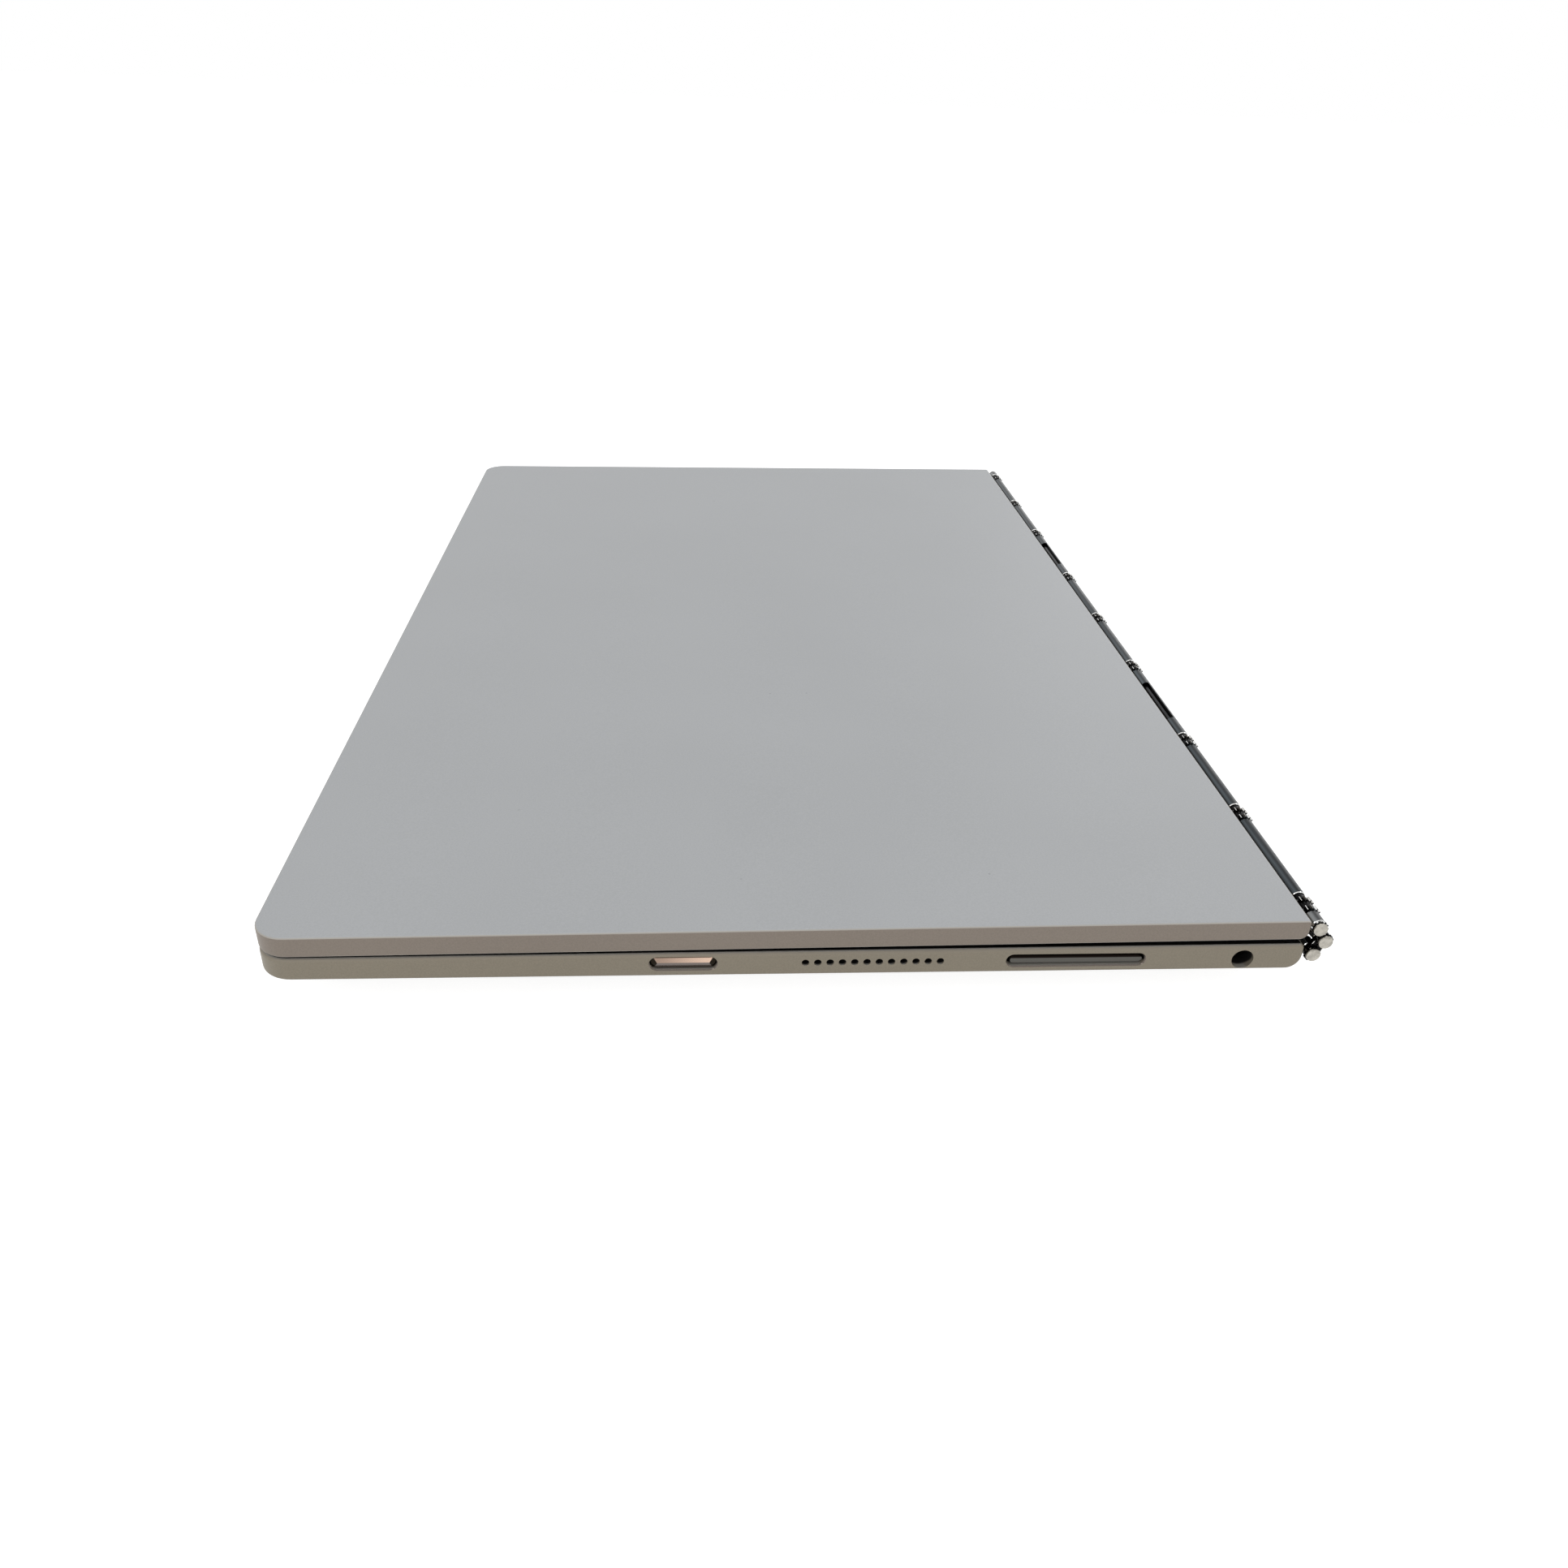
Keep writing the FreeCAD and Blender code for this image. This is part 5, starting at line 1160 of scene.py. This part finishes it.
@dataclass(frozen=True)
class CoatedLens(Finish):
    """Dark lens with a violet coating."""

    glass: Colour = srgb(16, 18, 30)
    coating: Colour = srgb(52, 40, 88)
    dust_size: float = 0.3
    roughness: float = 0.05
    relief: float = 0.0006

    def paint(self, recipe: Recipe) -> dict[str, Input]:
        """Coating towards the rim, faint dust.

        Args:
            recipe: The tree that takes the nodes.

        Returns:
            The shader's inputs by socket.
        """
        _, _, up = recipe.facing()
        dust = recipe.grain(self.dust_size, 3.0)
        return {
            "Base Color": recipe.blend(abs(up).fall(0.6, 1.0), self.glass, self.coating),
            "Roughness": self.roughness + 0.05 * dust,
            "Coat Weight": 0.7 + 0.2 * dust,
            "Coat Roughness": 0.02,
            "Normal": recipe.bump(dust, self.relief),
        }


# Mouths of the side walls: the paint treats both sides alike, and puts painted shade only on what lies
# behind a wall.
BUTTON_MOUTH = Opening(-19.65, 2.5, (5.25, 1.2), polished=True)
TRAY_MOUTH = Opening(-19.65, 2.05, (7.7, 1.1))
SPEAKER_MOUTHS = Opening(10.38, 2.45, (11.38, 0.6))
ROCKER_MOUTH = Opening(43.2, 2.35, (11.3, 1.125), polished=True)
VIDEO_MOUTH = Opening(57.4, 2.25, (3.6, 1.6))
PLUG_MOUTHS = Opening(70.7, 2.15, (4.1, 1.8))
# Both paints carry painted light: a cool lit tone on broad faces, a warm shaded tone on narrow sides
# and a painted highlight on turned edges.
LID_PAINT = LippedPaint(
    flat=srgb(167, 169, 171), side=srgb(139, 129, 119), edge=srgb(172, 168, 161)
)
BASE_PAINT = PiercedPaint(
    flat=srgb(160, 156, 149),
    side=srgb(140, 132, 117),
    edge=srgb(140, 132, 119),
    mouths=(BUTTON_MOUTH, TRAY_MOUTH, SPEAKER_MOUTHS, ROCKER_MOUTH, VIDEO_MOUTH, PLUG_MOUTHS),
)
BAR_STEEL = {
    HingeAxis.BASE: srgb(76, 82, 86),
    HingeAxis.MIDDLE: srgb(48, 52, 55),
    HingeAxis.LID: srgb(76, 82, 86),
}
CAP_METAL = srgb(172, 168, 159)
ROD_METAL = srgb(52, 53, 55)
SHIELD_TIN = srgb(186, 188, 190)
SOCKET_STEEL = srgb(178, 178, 176)
BLACK_MOULDING = srgb(26, 26, 28)
PALE_FILM = DottedFilm(film=srgb(226, 228, 230), dot=srgb(200, 203, 206))
RUBBER = MouldedPlastic(srgb(30, 30, 31), texture=0.25, roughness=0.75, depth=0.02)
MAGNET = DrawnMetal(srgb(186, 184, 178), EVEN, line=0.5, roughness=0.2)
SCREW = DrawnMetal(srgb(168, 166, 162), ALONG_Z)
SHIELD = DrawnMetal(SHIELD_TIN, dents=0.05)


@dataclass
class Workshop:
    """Dresses the frame's solids and turns meshes into pieces that ride on a body."""

    nodes: dict[str, bpy.types.Object]
    made: dict[Finish, bpy.types.Material] = field(default_factory=dict)

    def material(self, name: str, finish: Finish) -> bpy.types.Material:
        """A material of a finish, made once.

        Args:
            name: Name of the first piece that has it.
            finish: The finish.

        Returns:
            The material.
        """
        if finish not in self.made:
            self.made[finish] = finish.make(f"finish_{name}")
        return self.made[finish]

    def dress(self, name: str, finish: Finish) -> None:
        """Give a solid of the frame its finish."""
        self.nodes[name].material_slots[0].material = self.material(name, finish)
        LOG.info("%s: %s", name, type(finish).__name__)

    def piece(
        self, name: str, shape: bmesh.types.BMesh, finish: Finish, body: str, slot: str
    ) -> bpy.types.Object:
        """Make a new piece.

        Args:
            name: Name of the piece.
            shape: Its finished form in metres, which is used up.
            finish: Its surface.
            body: The body that it moves with.
            slot: Not used.

        Returns:
            The piece.
        """
        mesh = bpy.data.meshes.new(name)
        shape.to_mesh(mesh)
        shape.free()
        mesh.shade_smooth()
        mesh.set_sharp_from_angle(angle=SHARP_ANGLE)
        mesh.materials.append(self.material(name, finish))
        made = bpy.data.objects.new(name, mesh)
        bpy.context.scene.collection.objects.link(made)
        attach(made, body)
        LOG.info("%s: new piece of %d faces on %s", name, len(mesh.polygons), body)
        return made


@dataclass
class SubAssembly(ABC):
    """Neighbouring pieces that are built and dressed together."""

    workshop: Workshop

    @abstractmethod
    def finishes(self) -> dict[str, Finish]:
        """The finish of each of its solids."""

    def build(self) -> None:
        """Model what the solids leave out; a group of plain solids adds nothing."""

    def dress(self) -> None:
        """Give each solid its finish."""
        for name, finish in self.finishes().items():
            self.workshop.dress(name, finish)


@dataclass
class Gasket:
    """A thin rubber bead between a sheet of glass and its rim, in millimetres.

    edge holds the heights of the shell's edge at the front and back. The glass faces up where sunk is
    below zero and down where it is above.
    """

    edge: Spot
    sunk: float
    height: float = 0.4
    inset: float = 1.31
    width: float = 0.13
    corner: float = 4.19
    corner_segments: int = 8

    def form(self) -> bmesh.types.BMesh:
        """Bevel a sheet's front corners, keep its rim, thicken it and lean it like the glass.

        Returns:
            The closed bead in metres.
        """
        front = FRONT_Y + self.inset
        back = BACK_Y - self.inset
        size = Vector((2 * (HALF_WIDTH - self.inset), back - front, 1.0))
        shape = bmesh.new()
        bmesh.ops.create_grid(shape, x_segments=1, y_segments=1, size=0.5)
        bmesh.ops.scale(shape, vec=size, verts=shape.verts)
        bmesh.ops.translate(shape, vec=(0.0, (front + back) / 2, 0.0), verts=shape.verts)
        corners = [vert for vert in shape.verts if vert.co.y < 0.0]
        bmesh.ops.bevel(
            shape, geom=corners, affect="VERTICES", offset=self.corner,
            segments=self.corner_segments, profile=0.5, material=-1,
        )
        sheet = list(shape.faces)
        bmesh.ops.inset_region(
            shape, faces=sheet, thickness=self.width, use_boundary=True, use_even_offset=True
        )
        bmesh.ops.delete(shape, geom=sheet, context="FACES_ONLY")
        raised = bmesh.ops.extrude_face_region(shape, geom=list(shape.faces))["geom"]
        verts = [item for item in raised if isinstance(item, bmesh.types.BMVert)]
        lift = (0.0, 0.0, math.copysign(self.height, self.sunk))
        bmesh.ops.translate(shape, vec=lift, verts=verts)
        bmesh.ops.recalc_face_normals(shape, faces=shape.faces)
        slope = (self.edge[1] - self.edge[0]) / (BACK_Y - FRONT_Y)
        lean = Matrix.Identity(4)
        lean[2][1] = slope
        lean[2][3] = self.edge[0] - FRONT_Y * slope + self.sunk
        bmesh.ops.transform(shape, matrix=Matrix.Scale(MM, 4) @ lean, verts=shape.verts)
        return shape


@dataclass
class BaseBody(SubAssembly):
    """The base tray, its glass deck and the sheets under it."""

    gasket: Gasket = field(default_factory=lambda: Gasket(DECK_EDGE, sunk=-0.06))

    def finishes(self) -> dict[str, Finish]:
        """Paint outside, glass on the deck, films below.

        Returns:
            Finishes by the names of the solids.
        """
        return {
            "base_shell": BASE_PAINT,
            "keyboard_glass": DeckGlass(),
            "digitizer": PALE_FILM,
            "key_light_guide": PALE_FILM,
            "deck_plate": DrawnMetal(srgb(158, 160, 162), EVEN, line=0.4, roughness=0.5),
            "base_magnets": MAGNET,
        }

    def build(self) -> None:
        """The bead round the deck glass."""
        self.workshop.piece("deck_gasket", self.gasket.form(), RUBBER, "base", "bumper_rubber")


@dataclass
class SideControls(SubAssembly):
    """The power button and the volume rocker with what they press."""

    def finishes(self) -> dict[str, Finish]:
        """Polished keys, moulded switches.

        Returns:
            Finishes by the names of the solids.
        """
        switch = MouldedPlastic(srgb(36, 36, 38))
        return {
            # Power key: painted reflections, warm on the top slope and grey on the lower one, and
            # painted shade at the ends and under the slot's lip.
            "power_button": PolishedKey(
                upper_painted_light=srgb(204, 176, 157),
                lower=srgb(112, 104, 100),
                end=srgb(34, 30, 24),
                ends=(-24.9, -14.4),
                lip_shadow_from=3.46,
                roughness=0.2,
            ),
            # Volume rocker: a painted shadow of the slot's lip on the top slope and top edge, the
            # face's own grey below, and painted shade at the ends.
            "volume_rocker": PolishedKey(
                upper_painted_light=srgb(24, 19, 16),
                lower=srgb(87, 86, 82),
                end=srgb(24, 19, 16),
                ends=(32.3, 54.3),
                lip_shadow_from=2.55,
                roughness=0.36,
            ),
            "power_switch": switch,
            "volume_switches": switch,
            "rocker_pin": DrawnMetal(ROD_METAL, FINE_ALONG_Z),
        }


@dataclass
class SideSockets(SubAssembly):
    """Sockets, speakers and the card drawer behind the side walls."""

    def finishes(self) -> dict[str, Finish]:
        """Stamped shells and black mouldings.

        Returns:
            Finishes by the names of the solids.
        """
        moulding = MouldedPlastic(BLACK_MOULDING)
        return {
            "headphone_jack": MouldedPlastic(srgb(16, 16, 17), texture=0.2),
            "usb_socket": DrawnMetal(SOCKET_STEEL),
            "hdmi_socket": DrawnMetal(SOCKET_STEEL),
            "card_reader": DrawnMetal(SHIELD_TIN, dents=0.04),
            "card_tray": GrainPaint(BASE_PAINT.flat, BASE_PAINT.side, BASE_PAINT.edge),
            "speaker_left": moulding,
            "speaker_right": moulding,
            "speaker_meshes": WovenMesh(),
        }


@dataclass
class Electronics(SubAssembly):
    """Boards, chips, cells and cables inside the base."""

    def finishes(self) -> dict[str, Finish]:
        """Lacquer, epoxy, tin, foil and film.

        Returns:
            Finishes by the names of the solids.
        """
        return {
            "main_board": CircuitBoard(),
            "battery_board": CircuitBoard(),
            "port_board": CircuitBoard(),
            "processor": MouldedPlastic(srgb(34, 35, 38), texture=0.1, roughness=0.36),
            "memory_chips": MouldedPlastic(srgb(30, 30, 32), texture=0.12),
            "processor_shield": SHIELD,
            "radio_shield": SHIELD,
            "heat_spreader": DrawnMetal(
                srgb(66, 67, 70), stretch=(0.2, 1.0, 1.0), line=0.3, roughness=0.5
            ),
            "battery_left": CellFoil(),
            "battery_right": CellFoil(),
            "board_screws": SCREW,
            "haptic_motors": DrawnMetal(ROD_METAL, ALONG_Z),
            "antennas": FlexFilm(),
            "base_display_cables": FlexFilm(),
        }


@dataclass
class HingeTrain(SubAssembly):
    """The three rows of barrels, their links, rods and caps."""

    def finishes(self) -> dict[str, Finish]:
        """One finish per axis, so that each follows its own turning lines.

        Returns:
            Finishes by the names of the solids.
        """
        finishes: dict[str, Finish] = {}
        for axis in HingeAxis:
            row = axis.name.lower()
            finishes[f"{row}_barrels"] = GearSteel(axis, BAR_STEEL[axis])
            finishes[f"{row}_end_caps"] = TurnedMetal(axis, CAP_METAL, roughness=0.36)
            finishes[f"{row}_hinge_rod"] = TurnedMetal(axis, ROD_METAL)
        finishes["lid_cable_barrels"] = GearSteel(HingeAxis.LID, BAR_STEEL[HingeAxis.LID])
        for name in ("base_links", "end_links"):
            finishes[name] = LinkBlack(HingeAxis.BASE, HingeAxis.MIDDLE)
        finishes["lid_links"] = LinkBlack(HingeAxis.MIDDLE, HingeAxis.LID)
        for name in ("base_hinge_screws", "lid_hinge_screws"):
            finishes[name] = SCREW
        return finishes


@dataclass
class LidBody(SubAssembly):
    """The lid cover with its screen and what lies behind it."""

    gasket: Gasket = field(default_factory=lambda: Gasket(LID_EDGE, sunk=0.06))

    def finishes(self) -> dict[str, Finish]:
        """Paint outside, glass inside, films between.

        Returns:
            Finishes by the names of the solids.
        """
        return {
            "lid_cover": LID_PAINT,
            "screen_glass": ScreenGlass(),
            "display_panel": DottedFilm(
                film=srgb(24, 25, 29), dot=srgb(30, 31, 36), pitch=0.6, size=0.2
            ),
            "display_backlight": DottedFilm(
                film=srgb(232, 233, 232), dot=srgb(214, 216, 216), pitch=0.8, size=0.2
            ),
            "display_board": CircuitBoard(),
            "lid_display_cables": FlexFilm(),
            "lid_magnets": MAGNET,
            "lid_bumpers": RUBBER,
        }

    def build(self) -> None:
        """The bead round the screen."""
        self.workshop.piece("screen_gasket", self.gasket.form(), RUBBER, "lid", "bumper_rubber")


@dataclass
class Cameras(SubAssembly):
    """The camera under the deck's window and the one in the screen's border."""

    block_half: float = 4.2
    block_low: float = 0.75
    block_high: float = 3.3
    block_bevel: float = 0.35
    bevel_segments: int = 3
    facets: int = 64
    weld: float = 0.001
    barrel: tuple[Spot, ...] = (
        (3.0, 3.2), (3.0, 4.04), (2.92, 4.12), (2.6, 4.12), (2.5, 3.98), (2.1, 3.98), (2.0, 3.84),
        (1.65, 3.84), (1.55, 3.7), (1.3, 3.7), (1.22, 3.55), (0.0, 3.55),
    )
    lens: tuple[Spot, ...] = (
        (1.2, 3.56), (1.2, 3.6), (1.06, 3.7), (0.85, 3.78), (0.6, 3.84), (0.3, 3.875), (0.0, 3.885),
    )

    def finishes(self) -> dict[str, Finish]:
        """Glass over the rear camera, a ringed block for each camera.

        Returns:
            Finishes by the names of the solids.
        """
        return {
            "rear_camera_window": LensWindow(),
            "front_camera": CameraBlock(FRONT_CAMERA),
            "rear_camera": CameraBlock(REAR_CAMERA),
        }

    def turned(self, profile: Iterable[Spot]) -> bmesh.types.BMesh:
        """Spin a profile about the rear camera's axis.

        Args:
            profile: Pairs of radius and height in millimetres.

        Returns:
            The closed form in metres.
        """
        shape = bmesh.new()
        verts = [shape.verts.new((radius * MM, 0.0, height * MM)) for radius, height in profile]
        edges = [shape.edges.new(pair) for pair in zip(verts, verts[1:])]
        bmesh.ops.spin(
            shape, geom=verts + edges, cent=(0.0, 0.0, 0.0), axis=(0.0, 0.0, 1.0),
            angle=math.tau, steps=self.facets, use_merge=True,
        )
        bmesh.ops.remove_doubles(shape, verts=shape.verts, dist=self.weld * MM)
        bmesh.ops.recalc_face_normals(shape, faces=shape.faces)
        bmesh.ops.translate(shape, vec=Vector((*REAR_CAMERA, 0.0)) * MM, verts=shape.verts)
        return shape

    def build_block(self) -> bmesh.types.BMesh:
        """The bevelled block that the barrel stands on, joined to it.

        Returns:
            Both as one form in metres.
        """
        shape = self.turned(self.barrel)
        block = bmesh.ops.create_cube(shape, size=1.0)["verts"]
        side = 2 * self.block_half
        height = self.block_high - self.block_low
        bmesh.ops.scale(shape, vec=Vector((side, side, height)) * MM, verts=block)
        middle = Vector((*REAR_CAMERA, (self.block_high + self.block_low) / 2)) * MM
        bmesh.ops.translate(shape, vec=middle, verts=block)
        edges = list({edge for vert in block for edge in vert.link_edges})
        bmesh.ops.bevel(
            shape, geom=edges, affect="EDGES", offset=self.block_bevel * MM,
            segments=self.bevel_segments, profile=0.5, material=-1,
        )
        return shape

    def build(self) -> None:
        """The rear camera's block with its stepped barrel, and its lens."""
        unit = self.workshop.piece(
            "rear_camera_unit", self.build_block(), CameraBlock(REAR_CAMERA), "base", "chip_black"
        )
        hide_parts("rear_camera")
        self.workshop.piece("rear_lens", self.turned(self.lens), CoatedLens(), "base", "dark_glass")


@dataclass(frozen=True)
class Softbox:
    """A soft rectangular light, in metres and watts, that faces the point it aims at."""

    name: str
    place: Point
    aim: Point
    sides: Spot
    power: float

    def hang(self) -> None:
        """Add the light to the scene and turn it to the point it faces."""
        light = bpy.data.lights.new(self.name, "AREA")
        light.shape = "RECTANGLE"
        light.size, light.size_y = self.sides
        light.energy = self.power
        lamp = bpy.data.objects.new(self.name, light)
        lamp.location = self.place
        towards = Vector(self.aim) - Vector(self.place)
        lamp.rotation_euler = towards.to_track_quat("-Z", "Y").to_euler()
        bpy.context.scene.collection.objects.link(lamp)


@dataclass
class Studio:
    """The white ground, the lights and the camera.

    The ground lies just below the lowest point of the lid when it is folded right round. Places are in
    metres, the lens and its sensor in millimetres.
    """

    floor_half: float = 6.0
    floor_drop: float = 0.0058
    floor_colour: float = 0.5
    floor_glow: float = 0.84
    ambient: float = 0.78
    lens: float = 28.638
    sensor: float = 36.0
    clip_start: float = 0.005
    eye: Point = (0.2842728, -0.0176005, 0.1249816)
    forward: Point = (-0.864163, 0.070302, -0.498276)
    right: Point = (0.061555, 0.997525, 0.033986)
    lights: tuple[Softbox, ...] = (
        Softbox("overhead", (0.1, -0.1, 0.9), (0.0, 0.0, 0.0), sides=(0.9, 0.7), power=1.1),
        Softbox("side_strip", (0.7, -0.5, 0.45), (0.1, 0.0, 0.0), sides=(0.5, 0.12), power=0.5),
        Softbox("hinge_strip", (0.25, 0.6, 0.5), (0.05, 0.08, 0.0), sides=(0.5, 0.08), power=0.5),
        Softbox("far_strip", (-0.6, 0.45, 0.22), (0.0, 0.083, 0.0), sides=(0.45, 0.3), power=0.3),
    )

    @staticmethod
    def seen(recipe: Recipe) -> Value:
        """Mark the rays that come straight, mirrored or through glass from the camera.

        Args:
            recipe: The tree that takes the nodes.

        Returns:
            1 for such a ray and 0 for any other.
        """
        camera = recipe.node("ShaderNodeLightPath", output="Is Camera Ray")
        mirrored = recipe.sibling(camera, "Is Glossy Ray")
        through = recipe.sibling(camera, "Is Transmission Ray")
        return camera.most(mirrored).most(through)

    def build_floor(self) -> None:
        """White ground that keeps a soft shadow."""
        shape = bmesh.new()
        bmesh.ops.create_grid(shape, x_segments=1, y_segments=1, size=self.floor_half)
        bmesh.ops.translate(shape, verts=shape.verts, vec=(0.0, 0.0, -self.floor_drop))
        mesh = bpy.data.meshes.new("floor")
        shape.to_mesh(mesh)
        shape.free()
        floor = bpy.data.objects.new("floor", mesh)
        bpy.context.scene.collection.objects.link(floor)
        material = bpy.data.materials.new("ground_white")
        material.use_nodes = True
        recipe = Recipe(material.node_tree)
        grey = solid((self.floor_colour,) * 3)
        matt = recipe.node("ShaderNodeBsdfDiffuse", None, {"Color": grey})
        strength = self.floor_glow * self.seen(recipe)
        glow = recipe.node("ShaderNodeEmission", None, {"Strength": strength})
        both = recipe.node("ShaderNodeAddShader", None, {0: matt, 1: glow})
        recipe.node("ShaderNodeOutputMaterial", None, {"Surface": both})
        mesh.materials.append(material)

    def build_world(self) -> None:
        """An even white surround."""
        world = bpy.data.worlds.new("surround")
        world.use_nodes = True
        recipe = Recipe(world.node_tree)
        strength = self.ambient + (1.0 - self.ambient) * self.seen(recipe)
        white = solid((1.0, 1.0, 1.0))
        sky = recipe.node("ShaderNodeBackground", None, {"Color": white, "Strength": strength})
        recipe.node("ShaderNodeOutputWorld", None, {"Surface": sky})
        bpy.context.scene.world = world

    def build_lights(self) -> None:
        """A broad light above and three strips that draw the edges and the bars."""
        for light in self.lights:
            light.hang()

    def build_camera(self) -> None:
        """The photograph's viewpoint."""
        data = bpy.data.cameras.new("camera")
        data.lens = self.lens
        data.sensor_width = self.sensor
        data.clip_start = self.clip_start
        camera = bpy.data.objects.new("camera", data)
        right = Vector(self.right)
        back = -Vector(self.forward)
        up = back.cross(right)
        turn = Matrix((right, up, back)).transposed()
        camera.matrix_world = Matrix.Translation(self.eye) @ turn.to_4x4()
        bpy.context.scene.collection.objects.link(camera)
        bpy.context.scene.camera = camera

    def build(self) -> None:
        """Set the whole stage."""
        self.build_floor()
        self.build_world()
        self.build_lights()
        self.build_camera()
        bpy.context.scene.view_settings.view_transform = "Standard"


def main() -> None:
    """Build and dress every sub-assembly, then set the stage."""
    logging.basicConfig(level=logging.INFO)
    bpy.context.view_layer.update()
    workshop = Workshop(frame["nodes"])
    for group in (BaseBody, SideControls, SideSockets, Electronics, HingeTrain, LidBody, Cameras):
        assembly = group(workshop)
        assembly.build()
        assembly.dress()
    Studio().build()


if __name__ == "__main__":
    main()
